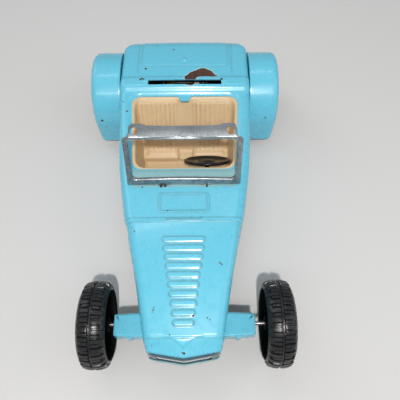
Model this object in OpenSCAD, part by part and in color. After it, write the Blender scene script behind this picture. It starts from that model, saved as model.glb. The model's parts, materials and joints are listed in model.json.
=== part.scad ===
// Pressed-steel toy roadster with a geared flywheel (friction) motor. Millimetres.
// The nose points to -Y and the car's own left is +X. The ground is Z = 0, and the
// origin is on the ground under the middle of the toy.

/* [Running gear] */
// Distance between the two axles
wheelbase = 212; // [210:0.5:214]
// Radius of each wheel over its tread lugs
wheel_r = 31; // [30.6:0.1:31.4]
// Width of each wheel
wheel_w = 19.9; // [19.5:0.1:20.2]
// Lugs in each of the two tread rows
lug_count = 60; // [52:4:64]
// Height of the tread lugs
lug_h = 1.3; // [0.8:0.1:1.6]
// Distance from the centreline to the inner face of a front wheel, with the axle centred
front_wheel_x = 54.5; // [54.2:0.1:55.5]
// How far the front axle and its wheels have slid to the car's own left in their end play
front_play = 2; // [0:0.5:2.5]
// Distance from the centreline to the inner face of a rear wheel
rear_wheel_x = 58; // [57.8:0.1:58.2]
// Radius of both axles
axle_r = 1.4; // [1.3:0.05:1.5]

/* [Body] */
// Thickness of the pressed body sheet
sheet = 1; // [0.8:0.1:1.1]
// Height of the sill, the lower edge of the body, above the ground
sill_z = 15; // [14.5:0.1:15.5]
// Number of raised louvers on the hood
louver_count = 10; // [6:1:10]
// Height of the louvers and other embossing above the sheet
emboss_h = 0.7; // [0.4:0.1:1]

/* [Windshield] */
// Height of the windshield frame measured along its slope
pane_h = 42; // [40:0.5:43]
// Backward lean of the windshield frame from upright
pane_lean = 23; // [20:0.5:25]
// Radius of the two locating holes in the top flange
peg_hole_r = 2.85; // [2.5:0.05:3]

/* [Motor] */
// Teeth of the axle gear and of the middle gear
gear_teeth = 36; // [36:1:36]
// Teeth of the two pinions
pinion_teeth = 12; // [12:1:12]
// Radius of the flywheel
flywheel_r = 13; // [10:0.5:13]

/* [Hidden] */
$fn = 48;

run_gap = 0.05;
front_y = -109;
rear_y = front_y + wheelbase;
axle_z = wheel_r;
steel_blue = [0.42, 0.80, 0.90];
black = [0.09, 0.09, 0.10];
zinc = [0.66, 0.69, 0.72];
cream = [0.87, 0.76, 0.60];

// Body stations along Y. Each row is [y, value].
hood_y0 = -122;
cowl_y = -43;
tail_y = 140;
tail_round = 12;
hood_slope = 7.2;
width_at = concat([
    [-139, 22.1], [-136.5, 24.2], [-133, 25.6], [hood_y0, 27.7], [-110, 29.7], [-100, 31.4], [-90, 33.1],
    [-80, 35], [-70, 37.1], [-59.6, 39.3], [cowl_y - 0.6, 42.3], [cowl_y + 0.4, 43.2], [-26, 46.3],
    [-9, 49], [5, 50.8], [19, 52], [48, 53.6], [62, 54.4], [76, 54.8], [110, 55.1]
], [for (a = [0:15:90]) [tail_y - tail_round * (1 - sin(a)), 55.2 - 17 * (1 - cos(a))]]);
top_at = [
    [-139, 49.3], [-136.5, 51], [-133, 53], [hood_y0, 57.7], [cowl_y - 0.6, 67.6],
    [cowl_y + 0.4, 67.2], [-9, 66.4], [19, 66], [76, 66.2], [79, 69.5], [89, 69.7], [91.5, 68],
    [103, 67.2], [115, 66], [128, 64], [134, 62.4], [138, 60], [tail_y, 56]
];
corner_at = [[-139, 4], [hood_y0, 6], [cowl_y, 7], [19, 6.5], [62, 5], [76, 4.8], [100, 4.6], [tail_y, 5.5]];
stations = concat(
    [-139, -136.5, -133, -128, hood_y0, -110, -100, -90, -80, -70, -59.6, cowl_y - 0.6, cowl_y + 0.4],
    [-26, -9, 5, 19, 34, 48, 62, 76],
    [79, 84, 89, 91.5, 97, 103, 110, 115, 121],
    [for (a = [0:15:90]) tail_y - tail_round * (1 - sin(a))]
);
side_lean = 0.2;
crown = 0.6;
nose_y = -137.6;
nose_v = 0.17;

// Cockpit opening, deck slot and windshield line
cockpit = [[-39.8, 1], [39.8, 1], [44.4, 72], [-44.4, 72]];
slot_y = 83;
slot_half = 30.7;
pane_y = -14.2;
pane_z = 66.95;
pane_t = 0.9;
flange_fold = 47;
flange_len = 9.4;
peg_x = 33.5;

// Motor shaft places [y, z]: the axle, the middle shaft and the flywheel shaft
tooth_mod = 0.7;
gear_r = tooth_mod * gear_teeth / 2;
pinion_r = tooth_mod * pinion_teeth / 2;
mesh_dist = gear_r + pinion_r;
middle_dir = 105;
flywheel_dir = 186;
axle_at = [rear_y, axle_z];
middle_at = axle_at + mesh_dist * [cos(middle_dir), sin(middle_dir)];
flywheel_at = middle_at + mesh_dist * [cos(flywheel_dir), sin(flywheel_dir)];
shaft_r = 1.2;
frame_x = 18;
frame_t = 1;
frame_outline = [[70, 16], [122, 16], [122, 34], [116, 60.5], [88, 60.5], [77, 52], [70, 34]];
spacer_at = [[75, 25], [119, 28], [112, 57]];
foot_y = [79, 113];

plate_t = 1;
tongue_z = 22;
beam_top = 34.7;
beam_x = 50.5;
beam_front = front_y - 8.6;
beam_rear = front_y + 7.1;
tub_top = 63.8;
screw_at = [[-22, 20], [22, 20]];
wheel_at = [18, 17, 49];
wheel_tip = 48;
column_len = 17;

// ---- helper functions ----
function unit(v) = v / norm(v);

// Points of a round corner at b, between the edges b-a and b-c
function corner_points(a, b, c, r, n = 5) =
    r == 0 ? [b] :
    let(u = unit(a - b), v = unit(c - b), ang = acos(u * v), turn = 180 - ang)
    let(mid = b + unit(u + v) * r / sin(ang / 2), d = r / tan(ang / 2))
    let(s = b + u * d - mid, e = b + v * d - mid)
    [for (i = [0:n]) mid + (sin(turn * (1 - i / n)) * s + sin(turn * i / n) * e) / sin(turn)];

// Outline with each corner rounded by its own radius
function rounded(pts, radii) =
    let(n = len(pts))
    [for (i = [0:n - 1])
        each corner_points(pts[(i + n - 1) % n], pts[i], pts[(i + 1) % n], radii[i])];

function box_outline(hx, hy, r) =
    rounded([[-hx, -hy], [hx, -hy], [hx, hy], [-hx, hy]], [r, r, r, r]);

// Half of a body cross-section at station y, from the sill up to the centreline
function half_ring(y, inset, low) =
    let(w = lookup(y, width_at) - inset, t = lookup(y, top_at) - inset)
    let(r = lookup(y, corner_at) - inset, cx = w - side_lean - r, cz = t - crown - r)
    concat([[w, low], [w - side_lean, cz]],
        [for (a = [22.5:22.5:90]) [cx + r * cos(a), cz + r * sin(a)]],
        [[cx * 0.5, t - crown * 0.25], [0, t]]);

function ring(y, inset, low) =
    let(h = half_ring(y, inset, low), n = len(h))
    [for (i = [0:2 * n - 2]) i < n ? [h[i][0], y, h[i][1]] : [-h[2 * n - 2 - i][0], y, h[2 * n - 2 - i][1]]];

// Outer face of the body side at height z
function side_x(y, z) =
    lookup(y, width_at) - side_lean * (z - sill_z) / (lookup(y, top_at) - crown - lookup(y, corner_at) - sill_z);

// Involute flank point at roll angle t on a base circle rb
function involute(rb, t) = rb * [cos(t) + t * PI / 180 * sin(t), sin(t) - t * PI / 180 * cos(t)];
function spin(p, a) = [p[0] * cos(a) - p[1] * sin(a), p[0] * sin(a) + p[1] * cos(a)];

// Outline of a gear whose first tooth points along +X
function gear_outline(teeth, tip_r) =
    let(pitch = tooth_mod * teeth / 2, base = pitch * cos(20), root = pitch - 1.15 * tooth_mod)
    let(slack = 0.05 / pitch * 180 / PI, half = 90 / teeth + 0.854 - slack)
    let(last = sqrt(pow(tip_r / base, 2) - 1) * 180 / PI, steps = 4)
    let(flank = [for (i = [0:steps]) spin(involute(base, last * i / steps), -half)])
    let(tooth = concat([spin([root, 0], -half)], flank,
        [for (i = [steps:-1:0]) [flank[i][0], -flank[i][1]]], [spin([root, 0], half)]))
    [for (k = [0:teeth - 1]) each [for (p = tooth) spin(p, k * 360 / teeth)]];

// ---- helper shapes ----

// Closed solid through every body station
module body_solid(inset, low) {
    rings = [for (y = stations) ring(y, inset, low)];
    n = len(rings[0]);
    m = len(rings);
    points = [for (r = rings) each r];
    sides = [for (j = [0:m - 2], i = [0:n - 1])
        let(a = j * n + i, b = j * n + (i + 1) % n)
        each [[a, b, b + n], [a, b + n, a + n]]];
    ends = [[for (i = [n - 1:-1:0]) i], [for (i = [0:n - 1]) (m - 1) * n + i]];
    polyhedron(points, concat(sides, ends));
}

// Everything in front of the shallow V of the nose
module nose_cut(back) {
    translate([0, nose_y + back, 0])
        linear_extrude(90)
            polygon([[-60, -30], [60, -30], [60, 60 * nose_v], [0, 0], [-60, 60 * nose_v]]);
}

// A profile drawn in Y and Z, extruded along X and centred
module side_profile(pts, width) {
    rotate([90, 0, 90])
        linear_extrude(width, center = true)
            polygon(pts);
}

// A cylinder along X from x0 to x1 at the given [y, z]
module bar_x(at, r, x0, x1) {
    translate([x0, at[0], at[1]])
        rotate([0, 90, 0])
            cylinder(h = x1 - x0, r = r);
}

// Turns a wheel drawn with its inner face on Z = 0 to face outwards on one side
module wheel_place(side, y, x) {
    translate([side * x, y, axle_z])
        rotate([0, side * 90, 0])
            children();
}

// A place on the sloping windshield frame
module on_pane() {
    translate([0, pane_y, pane_z])
        rotate([-pane_lean, 0, 0])
            children();
}

// A place on the steering column's line, +Z towards the driver
module on_column() {
    translate(wheel_at)
        rotate([-wheel_tip, 0, 0])
            children();
}

// ---- body ----
module body_shell() color(steel_blue) {
    difference() {
        union() {
            body_solid(0, sill_z);
            louvers();
            cowl_bead();
            trunk_panel();
        }
        nose_cut(0);
        difference() {
            body_solid(sheet, sill_z - 5);
            nose_cut(sheet);
            translate([-70, tail_y - sheet, 0])
                cube([140, 10, 90]);
        }
        translate([0, 0, 40])
            linear_extrude(40)
                difference() {
                    polygon(rounded(cockpit, [8, 8, 8, 8]));
                    polygon(rounded([[-6, 73], [-2.8, 65.5], [2.8, 65.5], [6, 73]], [0, 1, 1, 0]));
                }
        translate([0, slot_y, 55])
            linear_extrude(25)
                square([2 * slot_half, 5], center = true);
        hood_underside();
        grille_opening();
        side_holes();
        windshield_slots();
    }
    lower_lip();
    body_tabs();
}

module louvers() {
    for (i = [0:louver_count - 1]) {
        y = -58 - 6.3 * i;
        translate([0, y, lookup(y, top_at) - 1])
            rotate([hood_slope, 0, 0])
                linear_extrude(1 + emboss_h)
                    polygon(box_outline(15.2 - 0.9 * i, 2, 1.9));
    }
}

// Raised rectangular bead on the cowl
module cowl_bead() {
    translate([0, -29, lookup(-29, top_at) - 0.9])
        linear_extrude(0.9 + emboss_h)
            difference() {
                polygon(box_outline(18.6, 8, 2.5));
                polygon(box_outline(16.8, 6.2, 1.5));
            }
}

// Raised trunk lid panel and its teardrop handle
module trunk_panel() {
    intersection() {
        translate([0, 0, emboss_h])
            body_solid(0.2, sill_z);
        translate([0, 120, 55])
            linear_extrude(20)
                polygon(box_outline(37, 16, 4));
    }
    translate([0, 111, 64])
        linear_extrude(4.2)
            polygon(rounded([[-2, -3], [2, -3], [0.6, 3], [-0.6, 3]], [1.4, 1.4, 0.4, 0.4]));
}

// The hood's lower edge rises towards the nose and is notched over the axle beam
module hood_underside() {
    side_profile([[cowl_y, sill_z], [hood_y0, 28], [-150, 31], [-150, 0], [cowl_y, 0]], 140);
    side_profile([[beam_front - 1.4, 0], [beam_rear + 1.4, 0], [beam_rear + 1.4, beam_top + 0.4],
        [beam_front - 1.4, beam_top + 0.4]], 140);
}

module grille_opening() {
    translate([0, -150, 36.5])
        rotate([-90, 0, 0])
            mirror([0, 1, 0])
                linear_extrude(30)
                    polygon(rounded([[-18.5, 0], [18.5, 0], [19.5, 11.5], [-19.5, 11.5]], [2, 2, 2, 2]));
}

// Holes in the sides for the rear axle and the fender rivets
module side_holes() {
    bar_x([rear_y, axle_z], 3, -60, 60);
    translate([-60, rear_y - 3, sill_z - 1])
        cube([120, 6, axle_z - sill_z + 1]);
    for (y = [rear_y - 20, rear_y + 18])
        bar_x([y, 21], axle_r + run_gap, -60, 60);
}

module windshield_slots() {
    on_pane()
        for (s = [-1, 1])
            translate([s * 15 - 4.3, -0.35, -6])
                cube([8.6, pane_t + 0.7, 8]);
}

// Thin lip under the grille, a shallow V that stands out from the nose
module lower_lip() {
    translate([0, nose_y, 33])
        linear_extrude(2.5)
            polygon([[-22, 22 * nose_v - 0.6], [0, -1.3], [22, 22 * nose_v - 0.6], [22, 22 * nose_v + 1],
                [0, 1], [-22, 22 * nose_v + 1]]);
}

// Bent tabs that hold the base plate against the sill
module body_tabs() {
    for (y = [-30, 20, 66, 128], s = [-1, 1])
        translate([s * (lookup(y, width_at) - 3), y, sill_z - 0.5])
            cube([6, 7, 1], center = true);
}

// Dark pressed insert with upright bars behind the grille opening
module grille() color([0.16, 0.17, 0.18]) {
    translate([0, -131.6, 0])
        difference() {
            translate([-20.5, 0, 34])
                cube([41, 1, 15]);
            for (i = [-8:8])
                translate([2.2 * i - 0.55, -1, 36.5])
                    cube([1.1, 3, 10.5]);
        }
}

// Floor pan with a raised tongue that carries the axle beam
module base_plate() color([0.30, 0.33, 0.35]) {
    inner = sheet + 0.25;
    plan = [for (y = [-41.5, -9, 19, 48, 76, 110, 128]) [lookup(y, width_at) - inner, y]];
    tail = [[lookup(134, width_at) - inner, 134], [lookup(138, width_at) - inner, 138]];
    half = concat([[20, -125], [20, -100], [30, -58], [39, -44]], plan, tail);
    n = len(half);
    difference() {
        intersection() {
            side_profile([[-126, tongue_z], [-62, tongue_z], [-46, sill_z], [139, sill_z], [139, sill_z + plate_t],
                [-46, sill_z + plate_t], [-62, tongue_z + plate_t], [-126, tongue_z + plate_t]], 140);
            linear_extrude(40)
                polygon([for (i = [0:2 * n - 1]) i < n ? half[i] : [-half[2 * n - 1 - i][0], half[2 * n - 1 - i][1]]]);
        }
        for (p = screw_at)
            translate([p[0], p[1], 0])
                cylinder(h = 30, r = 1.5);
        for (y = foot_y, s = [-1, 1])
            translate([s * 22, y, 0])
                cylinder(h = 30, r = axle_r + run_gap);
        for (s = [-1, 1], y = [beam_front - 1.1 + 0.6, beam_rear + 1.1 - 0.6])
            translate([s * 10, y, tongue_z])
                cube([6.8, 2, 6], center = true);
    }
}

// ---- windshield ----
module windshield_frame() color(zinc) {
    on_pane() {
        rotate([90, 0, 0])
            mirror([0, 0, 1])
                linear_extrude(pane_t)
                    difference() {
                        polygon(rounded([[-42, 0], [42, 0], [42.4, pane_h], [-42.4, pane_h]], [1, 1, 0.5, 0.5]));
                        polygon(rounded([[-38.2, 5.3], [38.2, 5.3], [38.6, pane_h - 3], [-38.6, pane_h - 3]],
                            [4, 4, 5, 5]));
                    }
        for (s = [-1, 1]) {
            translate([s * 15 - 4, 0, -2.4])
                cube([8, pane_t, 3]);
            translate([s * 15 - 4, 0, -3.2])
                cube([8, 3.4 + pane_t, 0.8]);
        }
        top_flange();
    }
}

// Flange folded back from the top rail, with a locating hole in each ear
module top_flange() {
    translate([0, 0, pane_h - 0.5])
        rotate([-flange_fold, 0, 0])
            rotate([90, 0, 0])
                mirror([0, 0, 1])
                    difference() {
                        linear_extrude(pane_t)
                            polygon(rounded([[-41, 0], [41, 0], [38.6, 1.8], [37.6, flange_len], [28.5, flange_len],
                                [25, flange_len - 1], [-25, flange_len - 1], [-28.5, flange_len],
                                [-37.6, flange_len], [-38.6, 1.8]],
                                [0, 0, 1.2, 3.6, 3, 3, 3, 3, 3.6, 1.2]));
                        for (s = [-1, 1])
                            translate([s * peg_x, flange_len / 2, -1])
                                cylinder(h = pane_t + 2, r = peg_hole_r);
                    }
}

// ---- interior ----

// A drafted block between a top outline and a bottom outline
module drafted(top_pts, bottom_pts, z_low, z_high) {
    hull() {
        translate([0, 0, z_high - 0.1])
            linear_extrude(0.1)
                polygon(top_pts);
        translate([0, 0, z_low])
            linear_extrude(0.1)
                polygon(bottom_pts);
    }
}

module interior_tub() color(cream) {
    difference() {
        union() {
            intersection() {
                drafted(rounded([[-41.6, -1], [41.6, -1], [46.6, 77.5], [-46.6, 77.5]], [8, 8, 8, 8]),
                    rounded([[-36, 4], [36, 4], [39, 56], [-39, 56]], [8, 8, 8, 8]), 17.5, tub_top);
                side_profile([[-3, tub_top], [78, tub_top], [78, 60.5], [76.4, 60.5], [47.4, 26.5], [47.4, 17.5],
                    [-3, 17.5]], 120);
            }
            for (p = screw_at)
                translate([p[0], p[1], sill_z + plate_t])
                    cylinder(h = 5, r = 3.4);
        }
        difference() {
            drafted(rounded([[-39, 1.6], [39, 1.6], [43.8, 76], [-43.8, 76]], [6, 6, 6, 6]),
                rounded([[-34, 6], [34, 6], [37, 54], [-37, 54]], [6, 6, 6, 6]), 19.2, tub_top + 0.2);
            seat_solids();
            on_column()
                translate([0, 0, -column_len - 6])
                    cylinder(h = 14, r = 4.5);
        }
        for (p = screw_at)
            translate([p[0], p[1], 0])
                cylinder(h = 24, r = 1.3);
        on_column()
            translate([0, 0, -column_len])
                cylinder(h = 30, r = 2);
    }
}

// Sloping backrest wall, two cushions and two fluted seat backs, left standing in the tub
module seat_solids() {
    side_profile([[44, 10], [44, 27], [71.4, 63.5], [80, 66], [80, 10]], 100);
    for (s = [-1, 1]) {
        translate([s * 21.5, 0, 0]) {
            side_profile([[36, 10], [36, 24.4], [37.6, 26], [44, 27.2], [50, 30], [50, 10]], 31);
            side_profile([[42.8, 26], [44.6, 28], [68.6, 62.2], [80, 62.2], [80, 10], [42.8, 10]], 30);
        }
        for (i = [0:7])
            translate([s * (10 + 3.4 * i), 44.4, 28])
                rotate([-35, 0, 0])
                    cylinder(h = 41, r = 1);
    }
}

module steering_column() color(black) {
    on_column()
        translate([0, 0, -column_len])
            cylinder(h = column_len + 0.2, r = 2);
}

// Dished disc with a raised rim and a hub that turns on the column
module steering_wheel() color(black) {
    on_column()
        rotate_extrude($fn = 72)
            polygon([[2 + run_gap, -3], [3.6, -3], [4.4, -1], [13, -0.8], [15.8, -0.2], [17.6, -0.4], [18.8, 0.4],
                [19, 1.2], [18.4, 2], [17, 2.2], [15.6, 1.6], [12.8, 0.4], [5.6, 0.3], [4.6, 1.2],
                [3, 1.7], [0, 1.8], [0, 0.5], [2 + run_gap, 0.5]]);
}

module tub_screws() color(zinc) {
    for (p = screw_at)
        translate([p[0], p[1], 0]) {
            translate([0, 0, sill_z - 1.5])
                cylinder(h = 1.5, r1 = 2.2, r2 = 3);
            translate([0, 0, sill_z])
                cylinder(h = 6.4, r = 1.3);
        }
}

// ---- fenders ----
fender_r = 36.3;
fender_x = 55.5;
fender_out = 81;
fender_edge = 5.5;

// Cross-section of the fender sheet: X outwards, Y radial
function fender_section() =
    let(cx = fender_out - fender_edge, cr = fender_r - fender_edge)
    concat([[fender_x, fender_r]],
        [for (a = [90:-15:0]) [cx + fender_edge * cos(a), cr + fender_edge * sin(a)]],
        [for (a = [0:15:90]) [cx + (fender_edge - sheet) * cos(a), cr + (fender_edge - sheet) * sin(a)]],
        [[fender_x, fender_r - sheet]]);

// One half of the arch or a straight skirt, in the left fender's place
module fender_left_shape() {
    translate([0, rear_y, axle_z]) {
        // round top
        rotate([0, 90, 0])
            rotate([0, 0, 90])
                rotate_extrude(angle = 180, $fn = 96)
                    polygon([for (p = fender_section()) [p[1], p[0]]]);
        // straight skirts, front and rear
        translate([0, 0, -22])
            linear_extrude(22)
                polygon([for (p = fender_section()) [p[0], -p[1]]]);
        translate([0, 0, -14])
            linear_extrude(14)
                polygon(fender_section());
    }
    fender_wall();
}

// Flat inner wall that is riveted to the body side
module fender_wall() {
    difference() {
        translate([fender_x + 0.5, rear_y, 0])
            rotate([90, 0, 90])
                linear_extrude(sheet, center = true)
                    polygon(concat([for (a = [0:10:180]) [fender_r * cos(a), axle_z + fender_r * sin(a)]],
                        [[-fender_r, 9], [-fender_r + 4, 9], [-24, 16], [24, 17], [fender_r, 17]]));
        bar_x([rear_y, axle_z], 3.2, 50, 60);
        translate([50, rear_y - 3.2, 0])
            cube([10, 6.4, axle_z]);
        for (y = [rear_y - 20, rear_y + 18])
            bar_x([y, 21], axle_r + run_gap, 50, 60);
    }
}

module rear_fender_left() color(steel_blue) {
    fender_left_shape();
}

module rear_fender_right() color(steel_blue) {
    mirror([1, 0, 0])
        fender_left_shape();
}

module fender_rivets() color(zinc) {
    for (s = [-1, 1], y = [rear_y - 20, rear_y + 18])
        mirror([s < 0 ? 1 : 0, 0, 0]) {
            inner = side_x(y, 21) - sheet - 0.3;
            bar_x([y, 21], axle_r, inner - 0.5, fender_x + sheet + 0.5);
            bar_x([y, 21], 2.6, inner - 0.9, inner);
            bar_x([y, 21], 2.6, fender_x + sheet, fender_x + sheet + 0.7);
        }
}

// ---- front axle ----
module beam_plan(in) {
    f = 1.1;
    polygon([[-beam_x + in, beam_front + in], [-26, beam_front - f + in], [26, beam_front - f + in],
        [beam_x - in, beam_front + in], [beam_x - in, beam_rear - in], [26, beam_rear + f - in],
        [-26, beam_rear + f - in], [-beam_x + in, beam_rear - in]]);
}

// Pressed channel, open below, with bossed front flange and tabs through the tongue
module front_axle_beam() color(steel_blue) {
    low = tongue_z + plate_t;
    difference() {
        union() {
            translate([0, 0, low])
                linear_extrude(beam_top - low)
                    beam_plan(0);
            for (s = [-1, 1])
                translate([s * 39, beam_front - 0.4, low])
                    cylinder(h = beam_top - low - 1, r = 2);
        }
        translate([0, 0, low - 1])
            linear_extrude(beam_top - low - 0.2)
                beam_plan(1.2);
        bar_x([front_y, axle_z], axle_r + run_gap, -60, 60);
    }
    for (s = [-1, 1]) {
        beam_tab(s * 10, beam_front - 0.5, 1);
        beam_tab(s * 10, beam_rear + 0.5, -1);
    }
}

module beam_tab(x, y, dir) {
    translate([x - 3, y - 0.6, tongue_z - 0.8])
        cube([6, 1.2, plate_t + 0.8]);
    translate([x - 3, y - 0.6 + (dir > 0 ? 0 : -3), tongue_z - 0.8])
        cube([6, 4.2, 0.8]);
}

module front_axle() color(zinc) {
    reach = front_wheel_x + wheel_w + 0.3;
    bar_x([front_y, axle_z], axle_r, front_play - reach, front_play + reach);
}

// Domed push-on cap, drawn with its open face on Z = 0
module axle_cap() {
    rotate_extrude()
        polygon([[axle_r, 0], [4.2, 0], [4.2, 0.8], [3.4, 1.8], [2, 2.5], [0, 2.8], [0, 2], [axle_r, 2]]);
}

hub_end = wheel_w - 2.4;
cap_gap = 0.3;

module front_axle_caps() color(zinc) {
    for (s = [-1, 1])
        wheel_place(s, front_y, front_wheel_x + s * front_play)
            translate([0, 0, hub_end + cap_gap])
                axle_cap();
}

// ---- wheels ----
shoulder = 2;
groove = 1.6;

// How far the tread drops below its middle, as [place from the wheel's face, drop]
crown_drop = [[0.3, 3.7], [1.3, 2.3], [3, 1.1], [5.4, 0.35], [8, 0]];

// Both halves of the crowned tread line at a given radius in the middle
function tread_line(r) =
    let(n = len(crown_drop))
    concat([for (c = crown_drop) [r - c[1], c[0]]],
        [for (i = [n - 1:-1:0]) [r - crown_drop[i][1], wheel_w - crown_drop[i][0]]]);

// Hollow moulded wheel with its inner face on Z = 0
module wheel(bore_r) {
    root_r = wheel_r - lug_h;
    difference() {
        union() {
            rotate_extrude($fn = 96)
                polygon(concat([[24.6, 0.6], [25.2, 0], [root_r - 4, 0]], tread_line(root_r), [
                    [root_r - 4, wheel_w], [24.6, wheel_w], [23.4, wheel_w - 2],
                    [9, wheel_w - 3.4], [5.4, wheel_w - 2.6], [5, hub_end], [1, hub_end], [1, 1.2], [4.6, 1.2],
                    [5, wheel_w - 7], [21.4, wheel_w - 6.4], [24.2, wheel_w - 8]]));
            tread_row(shoulder, 0);
            tread_row(wheel_w / 2 + groove / 2, 180 / lug_count);
        }
        translate([0, 0, -1])
            cylinder(h = wheel_w + 2, r = bore_r);
    }
}

// One row of lugs around the tyre, starting at height z and turned by the given angle
module tread_row(z, turn) {
    step = 360 / lug_count;
    low = wheel_r - lug_h - 4.4;
    intersection() {
        translate([0, 0, z])
            rotate([0, 0, turn])
                linear_extrude(wheel_w / 2 - groove / 2 - shoulder)
                    difference() {
                        polygon([for (k = [0:lug_count - 1]) each [
                            spin([low, 0], (k - 0.42) * step), spin([wheel_r, 0], (k - 0.26) * step),
                            spin([wheel_r, 0], (k + 0.26) * step), spin([low, 0], (k + 0.42) * step)]]);
                        circle(r = low - 0.6);
                    }
        rotate_extrude($fn = 96)
            polygon(concat([[0, crown_drop[0][0]]], tread_line(wheel_r), [[0, wheel_w - crown_drop[0][0]]]));
    }
}

module front_wheel_left() color(black) {
    wheel_place(1, front_y, front_wheel_x + front_play)
        wheel(axle_r + run_gap);
}

module front_wheel_right() color(black) {
    wheel_place(-1, front_y, front_wheel_x - front_play)
        wheel(axle_r + run_gap);
}

module rear_wheel_left() color(black) {
    wheel_place(1, rear_y, rear_wheel_x)
        wheel(axle_r);
}

module rear_wheel_right() color(black) {
    wheel_place(-1, rear_y, rear_wheel_x)
        wheel(axle_r);
}

module rear_axle() color(zinc) {
    bar_x(axle_at, axle_r, -rear_wheel_x - hub_end - 2, rear_wheel_x + hub_end + 2);
}

module rear_axle_caps() color(zinc) {
    for (s = [-1, 1])
        wheel_place(s, rear_y, rear_wheel_x)
            translate([0, 0, hub_end])
                axle_cap();
}

// ---- motor ----
gear_x = -15;
middle_gear_x = 8;
gear_w = 4;

// A toothed gear on a shaft at the given [y, z], its first tooth turned to the given direction
module gear(at, x, width, teeth, tip_r, turn, bore_r) {
    translate([x, at[0], at[1]])
        rotate([90, 0, 90])
            difference() {
                linear_extrude(width)
                    rotate([0, 0, turn])
                        polygon(gear_outline(teeth, tip_r));
                translate([0, 0, -1])
                    cylinder(h = width + 2, r = bore_r);
            }
}

// Side plate of the motor with three bearing holes and two riveted feet
module motor_frame() {
    difference() {
        translate([frame_x + frame_t / 2, 0, 0])
            side_profile(frame_outline, frame_t);
        bar_x(axle_at, axle_r + run_gap, frame_x - 1, frame_x + 3);
        bar_x(middle_at, shaft_r + run_gap, frame_x - 1, frame_x + 3);
        bar_x(flywheel_at, shaft_r + run_gap, frame_x - 1, frame_x + 3);
    }
    for (y = foot_y)
        difference() {
            translate([frame_x, y - 4, sill_z + plate_t])
                cube([8, 8, frame_t]);
            translate([22, y, sill_z])
                cylinder(h = 5, r = axle_r + run_gap);
        }
}

module motor_frame_left() color(zinc) {
    motor_frame();
}

module motor_frame_right() color(zinc) {
    mirror([1, 0, 0])
        motor_frame();
}

module motor_spacers() color(zinc) {
    for (p = spacer_at)
        bar_x(p, 2, -frame_x, frame_x);
}

module motor_rivets() color(zinc) {
    for (y = foot_y, s = [-1, 1])
        translate([s * 22, y, sill_z - 0.8]) {
            cylinder(h = 0.8, r = 2.6);
            cylinder(h = 0.8 + plate_t + frame_t, r = axle_r);
            translate([0, 0, 0.8 + plate_t + frame_t])
                cylinder(h = 0.8, r = 2.6);
        }
}

module axle_gear() color([0.86, 0.84, 0.78]) {
    gear(axle_at, gear_x, gear_w, gear_teeth, gear_r + 0.5, middle_dir, axle_r);
}

module middle_shaft() color(zinc) {
    bar_x(middle_at, shaft_r, -frame_x - 2.2, frame_x + 2.2);
}

module middle_pinion() color([0.80, 0.66, 0.32]) {
    gear(middle_at, gear_x - 0.5, gear_w + 1, pinion_teeth, pinion_r + 0.6,
        middle_dir + 180 + 180 / pinion_teeth, shaft_r);
}

module middle_gear() color([0.86, 0.84, 0.78]) {
    gear(middle_at, middle_gear_x, gear_w, gear_teeth, gear_r + 0.5, flywheel_dir, shaft_r);
}

module flywheel_shaft() color(zinc) {
    bar_x(flywheel_at, shaft_r, -frame_x - 2.2, frame_x + 2.2);
}

module flywheel_pinion() color([0.80, 0.66, 0.32]) {
    gear(flywheel_at, middle_gear_x - 0.5, gear_w + 1, pinion_teeth, pinion_r + 0.6,
        flywheel_dir + 180 + 180 / pinion_teeth, shaft_r);
}

// Heavy turned disc with a recessed web on each face
module flywheel() color([0.55, 0.56, 0.58]) {
    translate([-7, flywheel_at[0], flywheel_at[1]])
        rotate([0, 90, 0])
            rotate_extrude($fn = 72)
                polygon([[shaft_r, 0], [3.4, 0], [3.4, 2], [flywheel_r - 4, 2], [flywheel_r - 4, 0],
                    [flywheel_r - 0.5, 0], [flywheel_r, 0.5], [flywheel_r, 9.5], [flywheel_r - 0.5, 10],
                    [flywheel_r - 4, 10], [flywheel_r - 4, 8], [3.4, 8], [3.4, 10], [shaft_r, 10]]);
}

body_shell();
grille();
base_plate();
windshield_frame();
interior_tub();
steering_column();
steering_wheel();
rear_fender_left();
rear_fender_right();
fender_rivets();
tub_screws();
front_axle_beam();
front_axle();
front_wheel_left();
front_wheel_right();
front_axle_caps();
rear_axle();
rear_wheel_left();
rear_wheel_right();
rear_axle_caps();
motor_frame_left();
motor_frame_right();
motor_spacers();
motor_rivets();
axle_gear();
middle_shaft();
middle_pinion();
middle_gear();
flywheel_shaft();
flywheel_pinion();
flywheel();
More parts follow.
